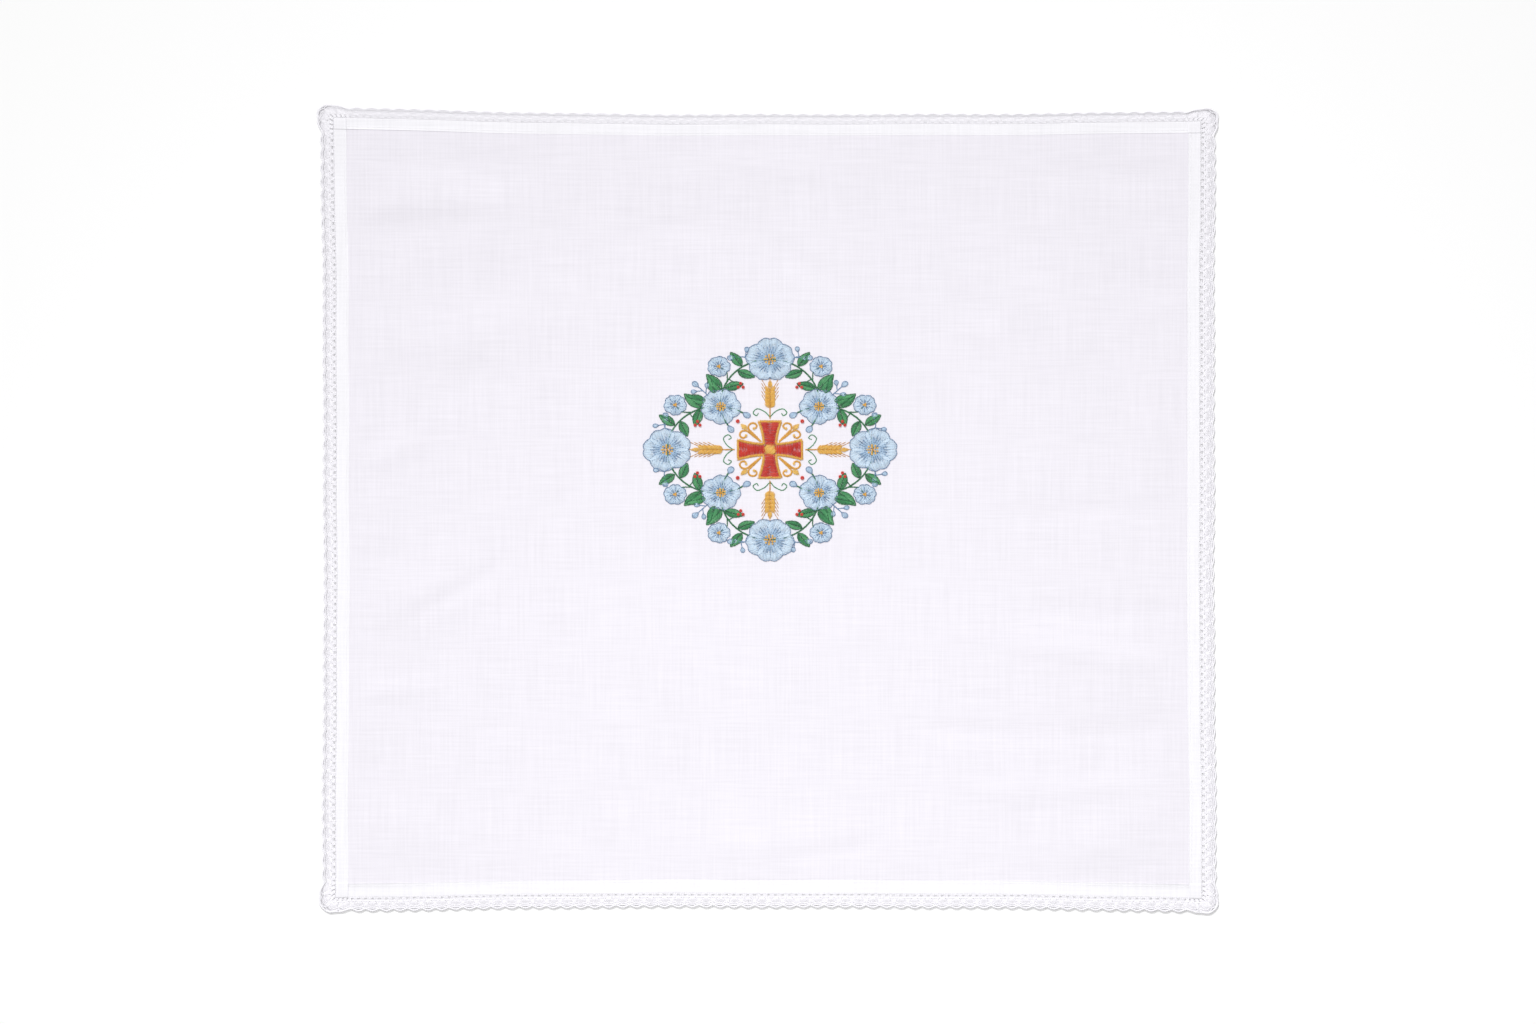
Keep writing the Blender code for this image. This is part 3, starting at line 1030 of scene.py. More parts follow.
def corner_outline(first, second, corner, shares):
    """Outer edge of the lace round a corner, with the inner edge that it belongs to."""
    first_half = half_length(first)
    second_half = half_length(second)
    reach_first = CORNER_REACH / first_half
    reach_second = CORNER_REACH / second_half
    turn_first = 1.0 + (second.lace + corner.bulge_second - corner.radius) / first_half
    turn_second = -1.0 - (first.lace + corner.bulge_first - corner.radius) / second_half
    start = side_point(first, turn_first, first.lace + corner.bulge_first)
    end = side_point(second, turn_second, second.lace + corner.bulge_second)
    centre = start - first.out * ((start - end) * np.conj(first.out)).real

    first_run = CORNER_REACH + (turn_first - 1.0) * first_half
    second_run = CORNER_REACH + (-1.0 - turn_second) * second_half
    arc = corner.radius * math.pi / 2.0
    total = first_run + arc + second_run
    outers = []
    inners = []
    for share in shares:
        travelled = share * total
        if travelled < first_run:
            part = travelled / first_run
            width = blend_to(
                first.lace - first.depth, first.lace + corner.bulge_first,
                smooth(part / CORNER_EASE),
            )
            outer = side_point(first, blend_to(1.0 - reach_first, turn_first, part), width)
        elif travelled < first_run + arc:
            angle = (travelled - first_run) / corner.radius
            outer = centre + (end - centre) * math.sin(angle) + (start - centre) * math.cos(angle)
        else:
            part = (total - travelled) / second_run
            width = blend_to(
                second.lace - second.depth, second.lace + corner.bulge_second,
                smooth(part / CORNER_EASE),
            )
            outer = side_point(second, blend_to(-1.0 + reach_second, turn_second, part), width)
        back = abs(2.0 * share - 1.0)
        gap = LACE_GAP / (first_half if share < 0.5 else second_half)
        if share < 0.5:
            inner = side_point(first, 1.0 + gap - (reach_first + gap) * back, LACE_GAP)
        else:
            inner = side_point(second, -1.0 - gap + (reach_second + gap) * back, LACE_GAP)
        outers.append(outer)
        inners.append(inner)
    return np.array(inners), np.array(outers)


# Round a corner the pattern is drawn in by the tuck, because the rim bows less there.
# The tuck comes in gently over a share of the corner's length at each of its ends.
STATIONS_PER_SCALLOP = 8
CORNER_TUCK = 0.5 * MM
TUCK_EASE = 0.25


def lace_stations(index):
    """Inner and outer points of the lace along one side and round its last corner.

    The outer points follow the rim's valleys, and the rim adds its scallops to them.
    """
    side = SIDES[index]
    following = SIDES[(index + 1) % len(SIDES)]
    reach = CORNER_REACH / half_length(side)
    steps = side.scallops * STATIONS_PER_SCALLOP
    runs = (1.0 - reach) * (2.0 * np.arange(steps) / steps - 1.0)
    corner_steps = CORNER_REPEATS * STATIONS_PER_SCALLOP
    shares = np.arange(corner_steps) / corner_steps
    inners, outers = corner_outline(side, following, CORNERS[index], shares)
    inward = (inners - outers) / np.abs(inners - outers)
    tuck = smooth(np.minimum(shares, 1.0 - shares) / TUCK_EASE)
    outers = outers + inward * CORNER_TUCK * tuck
    inner = np.concatenate([side_point(side, runs, LACE_GAP), inners])
    outer = np.concatenate([side_point(side, runs, side.lace - side.depth), outers])
    return inner, outer


def overlapping_stations(index):
    """The stations of one side with those of one more scallop at each end."""
    before = lace_stations(index - 1)
    own = lace_stations(index)
    after = lace_stations((index + 1) % len(SIDES))
    more = STATIONS_PER_SCALLOP
    rows = zip(before, own, after)
    return [np.concatenate([first[-more:], mid, last[:more + 1]]) for first, mid, last in rows]


# The cords stand up from the table by their lifts, and the rim's lift changes by its
# tilt from the middle of the cloth to the right and to the top.
RIM_POINTS_PER_SCALLOP = 12
RIM_LIFT = 0.17 * MM
RIM_TILT = complex(0.10 * MM, -0.12 * MM)
HEADER_LIFT = 0.08 * MM
CORNER_SCALLOP_DEPTH = 0.35 * MM
SCALLOP_FULLNESS = 0.55


def scallop_bow(share):
    """How far the rim stands out along a scallop: 0 at the valleys, 1 at the middle."""
    rise = np.abs(np.sin(math.pi * share))
    return SCALLOP_FULLNESS * rise + (1.0 - SCALLOP_FULLNESS) * rise * rise


def rim_lift(points):
    """How far the rim stands up from the table: most at the bottom and the right."""
    across = (points - SHIFT).real / RIGHT.middle
    up = (points - SHIFT).imag / TOP.middle
    return np.maximum(RIM_LIFT + RIM_TILT.real * across + RIM_TILT.imag * up, 0.0)


def rim_path(rim_radius):
    """Middle line of the rim, all round, bulging out at each scallop."""
    path = []
    for index, side in enumerate(SIDES):
        following = SIDES[(index + 1) % len(SIDES)]
        reach = CORNER_REACH / half_length(side)
        steps = side.scallops * RIM_POINTS_PER_SCALLOP
        count = np.arange(steps)
        bow = scallop_bow(count / RIM_POINTS_PER_SCALLOP)
        runs = (1.0 - reach) * (2.0 * count / steps - 1.0)
        path.append(side_point(side, runs, side.lace - rim_radius - side.depth * (1.0 - bow)))
        corner_steps = CORNER_REPEATS * RIM_POINTS_PER_SCALLOP
        shares = np.arange(corner_steps) / corner_steps
        inners, outers = corner_outline(side, following, CORNERS[index], shares)
        bow = scallop_bow(shares * CORNER_REPEATS)
        inward = (inners - outers) / np.abs(inners - outers)
        inside = smooth(np.minimum(shares, 1.0 - shares) / TUCK_EASE)
        dip = CORNER_SCALLOP_DEPTH * (1.0 - bow) * inside
        path.append(outers + inward * (rim_radius + dip))
    return np.concatenate(path)


def header_path(header_radius):
    """Middle line of the cord that lies against the hem, all round."""
    path = []
    for index in range(len(SIDES)):
        inner, outer = lace_stations(index)
        outward = (outer - inner) / np.abs(outer - inner)
        path.append(inner + outward * (header_radius - LACE_GAP))
    return np.concatenate(path)


# Threads of one scallop. Places are along and out, in shares of the scallop's length and
# of the lace's width, from the hem to the middle of the rim's valleys. Each thread runs
# through its points, with some steps from each point to the next. Its make is its radius
# and how far its middle lies over the lowest one, in shares of the thread's radius.
Thread = namedtuple("Thread", "make steps points")
Make = namedtuple("Make", "radius height")
LOWEST_MIDDLE = 0.22 * MM

# Header: bars in two bundles, which leave two openings, and the two threads woven past
# their ends, each with the two places that it sways between.
BAR = Make(1.3, 0.9)
BAR_BUNDLES = (0.25, 0.75)
BAR_OFFSETS = (-0.14, -0.07, 0.0, 0.07, 0.14)
BAR_SPAN = (0.03, 0.30)
BAR_FOOT_SHARE = 0.86
WEAVES = ((Make(1.15, 1.3), 0.285, 0.315), (Make(1.15, 1.1), 0.325, 0.295))
WEAVE_POINTS = 9

# An arc starts and ends beside the valleys, and bows outwards like the rim.
Arc = namedtuple("Arc", "end bow")
GROUND = Make(1.3, 0.2)
GROUND_ROWS = (
    Arc(0.15, 0.0), Arc(0.25, 0.0), Arc(0.42, 0.01), Arc(0.51, 0.04), Arc(0.60, 0.07),
    Arc(0.68, 0.10), Arc(0.895, 0.15),
)
CRESCENT = Make(1.1, 0.1)
CRESCENT_ROW = Arc(0.80, 0.15)
ROW_POINTS = 5
INNER_RIM = Make(1.9, 2.2)
INNER_RIM_ARC = Arc(0.865, 0.17)
INNER_RIM_POINTS = 9

# The fan in the scallop, the cluster at the valley, the two chains that zigzag across
# the fan's ends, and the two short ties from the chains to the rim at the valley.
STRAND = Make(1.3, 1.0)
FAN_FOOT = 0.31
FAN_FOOT_SPREAD = 0.07
FAN_STRANDS = 9
FAN_SPREAD = 0.42
FAN_BEND = (0.66, 0.42)
CLUSTER = Make(1.25, 1.4)
CLUSTER_FEET = (-0.26, -0.17, -0.08, 0.0, 0.08, 0.17, 0.26)
CLUSTER_BEND = (0.52, 0.5)
CLUSTER_TIP = 0.70
CLUSTER_TIP_SPREAD = 0.18
CHAINS = (Make(1.1, 1.5), Make(1.1, 1.1))
CHAIN_ARC = Arc(0.73, 0.135)
CHAIN_STEPS = 12
CHAIN_SWAY = 0.022
TIE = Make(1.2, 1.6)
TIE_OFFSETS = (-0.04, 0.04)
TIE_SPREAD = (1.5, 0.6)
TIE_SPAN = (0.69, 0.90)


def arc_out(along, arc):
    """How far out a point of an arc lies."""
    return arc.end + arc.bow * float(scallop_bow(along))


def arc_thread(make, arc, count):
    """A thread that runs along an arc through evenly spaced points."""
    points = tuple((along, arc_out(along, arc)) for along in np.linspace(0.0, 1.0, count))
    return Thread(make, 1, points)


def scallop_threads():
    """The threads of one scallop, from one valley of the rim to the next.

    A fan of strands stands in the scallop and a cluster closes the space at the valley.
    Low rows of thread lie under both, and chains and the rim's inner strand run along
    their ends.
    """
    threads = header_threads()
    threads += [arc_thread(GROUND, row, ROW_POINTS) for row in GROUND_ROWS]
    threads.append(arc_thread(CRESCENT, CRESCENT_ROW, ROW_POINTS))
    threads += fan_threads()
    for foot in CLUSTER_FEET:
        bend = (foot * CLUSTER_BEND[0], blend_to(FAN_FOOT, CLUSTER_TIP, CLUSTER_BEND[1]))
        tip = (foot * CLUSTER_TIP_SPREAD, CLUSTER_TIP)
        threads.append(Thread(CLUSTER, 1, ((foot, FAN_FOOT), bend, tip)))
    for phase, make in enumerate(CHAINS):
        chain = []
        for step, along in enumerate(np.linspace(0.0, 1.0, CHAIN_STEPS + 1)):
            sway = CHAIN_SWAY if (step + phase) % 2 else -CHAIN_SWAY
            chain.append((along, arc_out(along, CHAIN_ARC) + sway))
        threads.append(Thread(make, 1, chain))
    threads.append(arc_thread(INNER_RIM, INNER_RIM_ARC, INNER_RIM_POINTS))
    for offset in TIE_OFFSETS:
        ends = tuple((offset * spread, out) for spread, out in zip(TIE_SPREAD, TIE_SPAN))
        threads.append(Thread(TIE, 1, ends))
    return threads


def header_threads():
    """The bars beside the hem and the two threads that are woven past their ends."""
    threads = []
    for middle in BAR_BUNDLES:
        for offset in BAR_OFFSETS:
            foot = (middle + offset * BAR_FOOT_SHARE, BAR_SPAN[0])
            threads.append(Thread(BAR, 1, (foot, (middle + offset, BAR_SPAN[1]))))
    for make, first, second in WEAVES:
        run = np.linspace(0.0, 1.0, WEAVE_POINTS)
        weave = tuple((along, first if step % 2 else second) for step, along in enumerate(run))
        threads.append(Thread(make, 1, weave))
    return threads


def fan_threads():
    """The strands of the fan that stands in the scallop."""
    threads = []
    for share in np.linspace(-1.0, 1.0, FAN_STRANDS):
        spread = FAN_SPREAD * share
        out = arc_out(0.5 + spread, CHAIN_ARC)
        foot = (0.5 + FAN_FOOT_SPREAD * share, FAN_FOOT)
        bend = (0.5 + spread * FAN_BEND[0], blend_to(FAN_FOOT, out, FAN_BEND[1]))
        threads.append(Thread(STRAND, 2, (foot, bend, (0.5 + spread, out))))
    return threads


def make_scallop(lace):
    """Middle lines of the threads of one scallop, as edges that know their radius."""
    vertices = []
    edges = []
    radii = []
    for thread in scallop_threads():
        radius = lace.thread_radius * thread.make.radius
        line = smooth_line([complex(*point) for point in thread.points], thread.steps)
        first = len(vertices)
        for at in line:
            height = lace.thread_radius * thread.make.height + LOWEST_MIDDLE
            vertices.append((at.real * lace.length, at.imag * lace.width, height))
            radii.append(radius)
        edges += [(first + step, first + step + 1) for step in range(len(line) - 1)]
    scallop = new_mesh("scallop_threads", vertices, edges)
    add_attribute(scallop, "radius", radii)
    scallop.hide_render = True
    return scallop


def smooth_line(points, steps):
    """A smooth line through complex points, with some steps between each two of them."""
    points = np.asarray(points)
    before = np.concatenate([[2 * points[0] - points[1]], points, [2 * points[-1] - points[-2]]])
    line = []
    for index in range(len(points) - 1):
        a, b, c, d = before[index:index + 4]
        for step in range(steps):
            t = step / steps
            bend = 2 * a - 5 * b + 4 * c - d + t * (3 * (b - c) + d - a)
            line.append(b + 0.5 * t * (c - a + t * bend))
    line.append(points[-1])
    return np.array(line)


def closed_path(name, points, heights):
    """A closed loop of edges through complex points."""
    count = len(points)
    edges = [(step, (step + 1) % count) for step in range(count)]
    return new_mesh(name, stations_3d(points, heights), edges)


def path_length(points):
    """Length of a closed path."""
    return float(np.abs(np.roll(points, -1) - points).sum())


CORD_STEPS_PER_TURN = 5


def make_cord(name, points, radius, height, turn, sides, tree, material):
    """One twisted cord round the whole cloth, with a whole number of turns."""
    points = uneven_lie(points)
    length = path_length(points)
    exact_turn = length / round(length / turn)
    piece = closed_path(name, points, height)
    values = {
        "Cord Radius": radius, "Turn": exact_turn,
        "Step": exact_turn / CORD_STEPS_PER_TURN, "Sides": sides, "Material": material,
    }
    return grow(piece, tree, values)


FIRST_LACE_SEED = 3.0
LACE_THREAD_SIDES = 4


def make_lace_side(index, scallop, tree, material):
    """The mesh of the lace along one side and round its last corner."""
    lace = bpy.context.scene.corporal_lace
    side = SIDES[index]
    inner, outer = overlapping_stations(index)
    valley = outer - (outer - inner) / np.abs(outer - inner) * lace.rim_radius
    piece = new_mesh(f"lace_{side.name}", stations_3d(uneven_lie(inner), 0.0))
    add_attribute(piece, "outer", stations_3d(uneven_lie(valley), 0.0), "FLOAT_VECTOR")
    values = {
        "Scallop": scallop, "Repeats": side.scallops + CORNER_REPEATS,
        "Stations": STATIONS_PER_SCALLOP, "Scallop Length": lace.length,
        "Lace Width": lace.width, "Unevenness": lace.uneven,
        "Seed": FIRST_LACE_SEED + index, "Sides": LACE_THREAD_SIDES, "Material": material,
    }
    return grow(piece, tree, values)


Stitch = namedtuple("Stitch", "start end tone arch level")


def make_stitches(name, stitches, radius, tree, material, steps, sides):
    """Turn a list of stitches into threads that lie on the cloth."""
    starts = np.array([stitch.start for stitch in stitches])
    ends = np.array([stitch.end for stitch in stitches])
    levels = np.array([stitch.level for stitch in stitches])
    both = np.stack([starts, ends], axis=-1).ravel()
    heights = cloth_height(both) + np.repeat(levels, 2)
    edges = np.arange(len(both)).reshape(-1, 2)
    piece = new_mesh(name, stations_3d(uneven_lie(both), heights), edges)
    add_attribute(piece, "tone", np.repeat([stitch.tone for stitch in stitches], 2))
    add_attribute(piece, "arch", np.repeat([stitch.arch for stitch in stitches], 2))
    values = {"Thread Radius": radius, "Sides": sides, "Steps": steps, "Material": material}
    return grow(piece, tree, values)


SEWING_LENGTH = 2.4 * MM
SEWING_SPACE = 0.5 * MM
SEWING_INSET = 1.3 * MM
SEWING_MARGIN = 3.0 * MM
SEWING_ARCH = 0.08 * MM
WHIP_PITCH = 2.05 * MM
WHIP_MARGIN = 1.5 * MM
WHIP_ARCH = 0.25 * MM
WHIP_SPAN = (-0.25 * MM, 0.8 * MM)
WHIP_SLANT = 0.6 * MM
HEM_TOP_LAYER = 2.0
PLAIN_TONE = 0.5


def hem_stitches():
    """Straight white stitches just outside the hem's inner fold, on all four sides."""
    level = HEM_TOP_LAYER * bpy.context.scene.corporal_cloth.layer_gap
    stitches = []
    for side in SIDES:
        half = half_length(side)
        margin = 1.0 - SEWING_MARGIN / half
        count = round(2.0 * half * margin / (SEWING_LENGTH + SEWING_SPACE))
        for step in range(count):
            first = margin * (2.0 * step / count - 1.0)
            last = first + SEWING_LENGTH / half
            inward = SEWING_INSET - side.hem
            start = side_point(side, first, inward)
            end = side_point(side, last, inward)
            stitches.append(Stitch(start, end, PLAIN_TONE, SEWING_ARCH, level))
    return stitches


def whip_stitches():
    """Slanting white stitches that hold the lace's header cord to the hem."""
    level = HEM_TOP_LAYER * bpy.context.scene.corporal_cloth.layer_gap
    stitches = []
    for side in SIDES:
        half = half_length(side)
        margin = 1.0 - WHIP_MARGIN / half
        count = round(2.0 * half * margin / WHIP_PITCH)
        for step in range(count):
            run = margin * (2.0 * step / count - 1.0)
            start = side_point(side, run, WHIP_SPAN[0])
            end = side_point(side, run + WHIP_SLANT / half, WHIP_SPAN[1])
            stitches.append(Stitch(start, end, PLAIN_TONE, WHIP_ARCH, level))
    return stitches


# The embroidered motif: a red cross with gold edges, scrolls and ears of wheat, inside a
# vine of four arches that bears blue flowers, green leaves and red berries. It is drawn
# for one arch, which stands on the centre, and turned to the four sides. The whole is a
# little wider than it is high. Angles round an arch are in degrees, 90 at its top.
MOTIF_CENTRE = complex(1.3, 32.9) * MM
MOTIF_WIDEN = 1.14
ARCH_CENTRE = 26.0j * MM
ARCH_RADIUS = 24.0 * MM
ARCH_FIRST = -32.0
ARCH_LAST = 212.0
STEM_WIDTH = 0.9 * MM

# How a hand sews: limits of a satin stitch, how much the parts of a long one overlap
# and vary, how full a short one can stand, how far ends and tones stray, and how close
# the stitches of a rope lie, as a share of the satin's spacing.
LONGEST_STITCH = 5.5 * MM
SHORTEST_STITCH = 0.3 * MM
PART_OVERLAP = 0.2 * MM
PART_VARIATION = 0.16
ARCH_PER_LENGTH = 0.22
STITCH_STRAY = 0.05 * MM
TONE_STRAY = 0.07
ROPE_SPACING = 1.15
SHORTEST_REACH = 0.5 * MM
HAND_SEED = 23

# Leaves on the first half of an arch: angle, the side of the vine that they grow on,
# length, width and lean from the vine's normal in degrees.
Leaf = namedtuple("Leaf", "angle side length width lean")
ARCH_LEAVES = (
    Leaf(17, 1, 11.5 * MM, 5.6 * MM, 32),
    Leaf(20, -1, 9.5 * MM, 4.8 * MM, 36),
    Leaf(48, -1, 9.0 * MM, 4.6 * MM, 26),
    Leaf(56, 1, 9.5 * MM, 4.8 * MM, -2),
)
SMALL_FLOWER_ANGLE = 39.0
SMALL_FLOWER_OUT = 8.0 * MM
BERRIES_ANGLE = 33.0
BERRIES_OUT = -7.0 * MM
SPRIG_ANGLE = 66.0
LARGE_FLOWER = 12.0 * MM
MEDIUM_FLOWER = 9.8 * MM
SMALL_FLOWER = 5.7 * MM
CROSSING = 33.8 * MM


class Needlework:
    """Collects the stitches and knots of each colour."""

    def __init__(self):
        self.settings = bpy.context.scene.corporal_needlework
        self.random = np.random.default_rng(HAND_SEED)
        self.stitches = {"blue": [], "green": [], "gold": [], "red": []}
        self.knots = {"gold": [], "red": []}

    def place(self, points):
        """Bring points of the motif to their place on the cloth."""
        points = np.asarray(points)
        return points.real * MOTIF_WIDEN + 1j * points.imag + MOTIF_CENTRE

    def add(self, colour, start, end, tone, arch, level):
        """Add one stitch between two points of the cloth, not quite in its place."""
        stray = self.random.normal(0.0, STITCH_STRAY, 4)
        start = start + complex(stray[0], stray[1])
        end = end + complex(stray[2], stray[3])
        tone = float(np.clip(tone + self.random.normal(0.0, TONE_STRAY), 0.0, 1.0))
        self.stitches[colour].append(Stitch(start, end, tone, arch, level))

    def satin(self, colour, outline, angle, tone_of, arch=0.38 * MM, level=0.0):
        """Fill an outline with side by side stitches that run along an angle."""
        turn = np.exp(-1j * angle)
        turned = outline * turn
        following = np.roll(turned, -1)
        spacing = self.settings.spacing
        low = turned.imag.min() + spacing / 2.0
        for line in np.arange(low, turned.imag.max(), spacing):
            crosses = (turned.imag - line) * (following.imag - line) < 0.0
            a = turned[crosses]
            b = following[crosses]
            ends = np.sort(a.real + (line - a.imag) / (b.imag - a.imag) * (b.real - a.real))
            for first, last in zip(ends[0::2], ends[1::2]):
                start = complex(first, line) / turn
                end = complex(last, line) / turn
                self.long_stitch(colour, start, end, tone_of, arch, level)

    def long_stitch(self, colour, start, end, tone_of, arch, level):
        """Add a stitch, parted where it would be too long to lie well."""
        length = abs(end - start)
        if length < SHORTEST_STITCH:
            return
        parts = max(1, round(length / LONGEST_STITCH))
        bounds = np.linspace(0.0, length, parts + 1)
        shift = self.random.uniform(-PART_VARIATION, PART_VARIATION)
        bounds[1:-1] += shift * LONGEST_STITCH
        direction = (end - start) / length
        overlap = PART_OVERLAP if parts > 1 else 0.0
        for first, last in zip(bounds[:-1], bounds[1:]):
            a = start + direction * max(first - overlap, 0.0)
            b = start + direction * min(last + overlap, length)
            height = min(arch, ARCH_PER_LENGTH * abs(last - first))
            self.add(colour, a, b, tone_of((a + b) / 2.0), height, level)

    def rope(self, colour, line, width, tone, level=0.0, arch=0.3 * MM):
        """Slanting stitches along a line, each a little past the one before."""
        lengths = run_lengths(line)
        spacing = self.settings.spacing * ROPE_SPACING
        reach = max(width * 0.7, SHORTEST_REACH)
        for at in np.arange(0.0, lengths[-1], spacing):
            here = interpolate(at, lengths, line)
            ahead = interpolate(min(at + 0.2 * MM, lengths[-1]), lengths, line)
            behind = interpolate(max(at - 0.2 * MM, 0.0), lengths, line)
            along = (ahead - behind) / max(abs(ahead - behind), 1e-9)
            slant = (1j * along * width + along * reach) / 2.0
            self.add(colour, here - slant, here + slant, tone, arch, level)

    def back_stitch(self, colour, line, length, tone, level=0.2 * MM, arch=0.22 * MM):
        """Short stitches end to end along a line."""
        lengths = run_lengths(line)
        count = max(2, round(lengths[-1] / length))
        marks = [interpolate(at, lengths, line) for at in np.linspace(0.0, lengths[-1], count + 1)]
        for first, last in zip(marks[:-1], marks[1:]):
            self.add(colour, first, last, tone, arch, level)

    def knot(self, colour, point, size, tone):
        """Add one round knot."""
        self.knots[colour].append((point, size, tone))


def run_lengths(line):
    """Distance from a line's start to each of its points."""
    return np.concatenate([[0.0], np.cumsum(np.abs(np.diff(line)))])


def interpolate(at, lengths, line):
    """The complex point at a distance along a line."""
    return complex(np.interp(at, lengths, line.real), np.interp(at, lengths, line.imag))


def interpolate_share(line, share):
    """The point at a share of a line's length."""
    lengths = run_lengths(line)
    return interpolate(share * lengths[-1], lengths, line)


def closed(outline):
    """An outline with its first point once more at its end."""
    return np.append(outline, outline[0])


def leaf_edge(length, width):
    """The upper edge of a pointed leaf that starts at the origin and grows along +x."""
    share = np.linspace(0.0, 1.0, 15)
    return share * length + 0.5j * width * np.sin(math.pi * share ** 0.85) ** 0.85


def sew_leaf(work, root, angle, length, width):
    """A leaf in two halves of slanting stitches, with a vein and a dark edge."""
    turn = np.exp(1j * angle)
    edge = leaf_edge(length, width)
    midrib = np.linspace(0.0, 1.0, 9) * length
    far = work.place(root + length * turn)
    for half, slant, base in ((edge, 38, 0.66), (np.conj(edge), -38, 0.40)):
        outline = np.concatenate([half, midrib[::-1][1:-1]])
        work.satin(
            "green", work.place(root + outline * turn), angle + math.radians(slant),
            lambda at, base=base: base + 0.2 - 0.3 * abs(at - far) / length,
        )
        work.back_stitch("green", work.place(root + half * turn), 1.7 * MM, 0.06, 0.12 * MM)
    work.back_stitch("green", work.place(root + midrib[:8] * turn), 1.6 * MM, 0.04, 0.3 * MM)


def petal_outline(length, width):
    """A round petal with a slight notch, growing along +x."""
    share = np.linspace(0.0, 1.0, 13)
    upper = share * length + 0.5j * width * np.sin(math.pi * share ** 1.25 * 0.93) ** 0.7
    notch = np.array([length * 0.93])
    return np.concatenate([upper, notch, np.conj(upper)[::-1][:-1]])


def sew_flower(work, centre, radius, turn, petals=5):
    """A blue flower with dark outlines and a heart of gold knots."""
    heart = work.place(centre)
    for count in range(petals):
        angle = turn + 2.0 * math.pi * count / petals
        direction = np.exp(1j * angle)
        outline = petal_outline(radius * 0.92, radius * 1.04) + radius * 0.08
        placed = work.place(centre + outline * direction)
        work.satin("blue", placed, angle, lambda at: petal_tone(abs(at - heart) / radius))
        work.back_stitch("blue", closed(placed), 1.5 * MM, 0.04)
        for lean, reach in ((-0.22, 0.60), (0.0, 0.72), (0.22, 0.60)):
            if radius < MEDIUM_FLOWER and lean:
                continue
            vein = centre + direction * np.exp(1j * lean) * radius * np.linspace(0.3, reach, 5)
            work.back_stitch("blue", work.place(vein), 1.3 * MM, 0.14, 0.34 * MM)
    sew_heart(work, centre, radius)


def petal_tone(share):
    """Tone of a petal at a share of the flower's radius: dark at its heart, pale outside."""
    return 0.15 + 1.35 * share - 0.55 * share ** 3


def sew_heart(work, centre, radius):
    """The gold knots in the middle of a flower, in two rings where it is large."""
    rings = ((3, 0.10),) if radius < MEDIUM_FLOWER else ((5, 0.12), (9, 0.21))
    for count, share in rings:
        for step in range(count):
            spoke = np.exp(2j * math.pi * (step + 0.5) / count)
            work.knot("gold", work.place(centre + spoke * radius * share), 1.0, 0.5 + share)
    if radius >= MEDIUM_FLOWER:
        work.knot("gold", work.place(centre), 1.2, 0.3)


def sew_bud(work, root, angle, length):
    """A small blue bud with a dark outline."""
    outline = petal_outline(length, length * 0.75)
    placed = work.place(root + outline * np.exp(1j * angle))
    work.satin("blue", placed, angle, lambda at: 0.72, 0.3 * MM)
    work.back_stitch("blue", closed(placed), 1.3 * MM, 0.1, 0.15 * MM)


def sew_sprig(work, root, angle, length, lean):
    """A fine curved stem with a bud at its tip and one on each side."""
    tip = root + length * np.exp(1j * (angle + lean))
    line = smooth_line([root, root + 0.55 * length * np.exp(1j * angle), tip], 6)
    work.rope("blue", work.place(line), 0.5 * MM, 0.15, 0.0, 0.22 * MM)
    sew_bud(work, tip, angle + 1.6 * lean, 3.8 * MM)
    for side in (-1.0, 1.0):
        base = interpolate_share(line, 0.55 + 0.12 * side)
        leaning = angle + side * math.radians(52)
        reach = base + 2.8 * MM * np.exp(1j * leaning)
        work.rope("blue", work.place(np.array([base, reach])), 0.45 * MM, 0.2, 0.0, 0.2 * MM)
        sew_bud(work, reach, leaning, 3.0 * MM)


def sew_berries(work, centre):
    """Three red berries close together."""
    for count in range(3):
        at = centre + 1.35 * MM * np.exp(1j * (math.pi / 2 + 2 * math.pi * count / 3))
        work.knot("red", work.place(at), 1.6, 0.5)


def arch_point(angle, outward=0.0):
    """A point of one arch of the vine, or a distance outside it."""
    return ARCH_CENTRE + (ARCH_RADIUS + outward) * np.exp(1j * np.radians(angle))


def sew_arch(work, turn):
    """One of the four arches of the vine with what grows on it."""
    direction = float(np.angle(turn))
    line = arch_point(np.linspace(ARCH_FIRST, ARCH_LAST, 90))
    work.rope("green", work.place(line * turn), STEM_WIDTH, 0.22)
    for mirrored in (False, True):
        sew_half_arch(work, turn, direction, mirrored)
    sew_wheat(work, direction + math.pi / 2)
    sew_flower(work, arch_point(90.0) * turn, LARGE_FLOWER, direction + math.pi / 2)


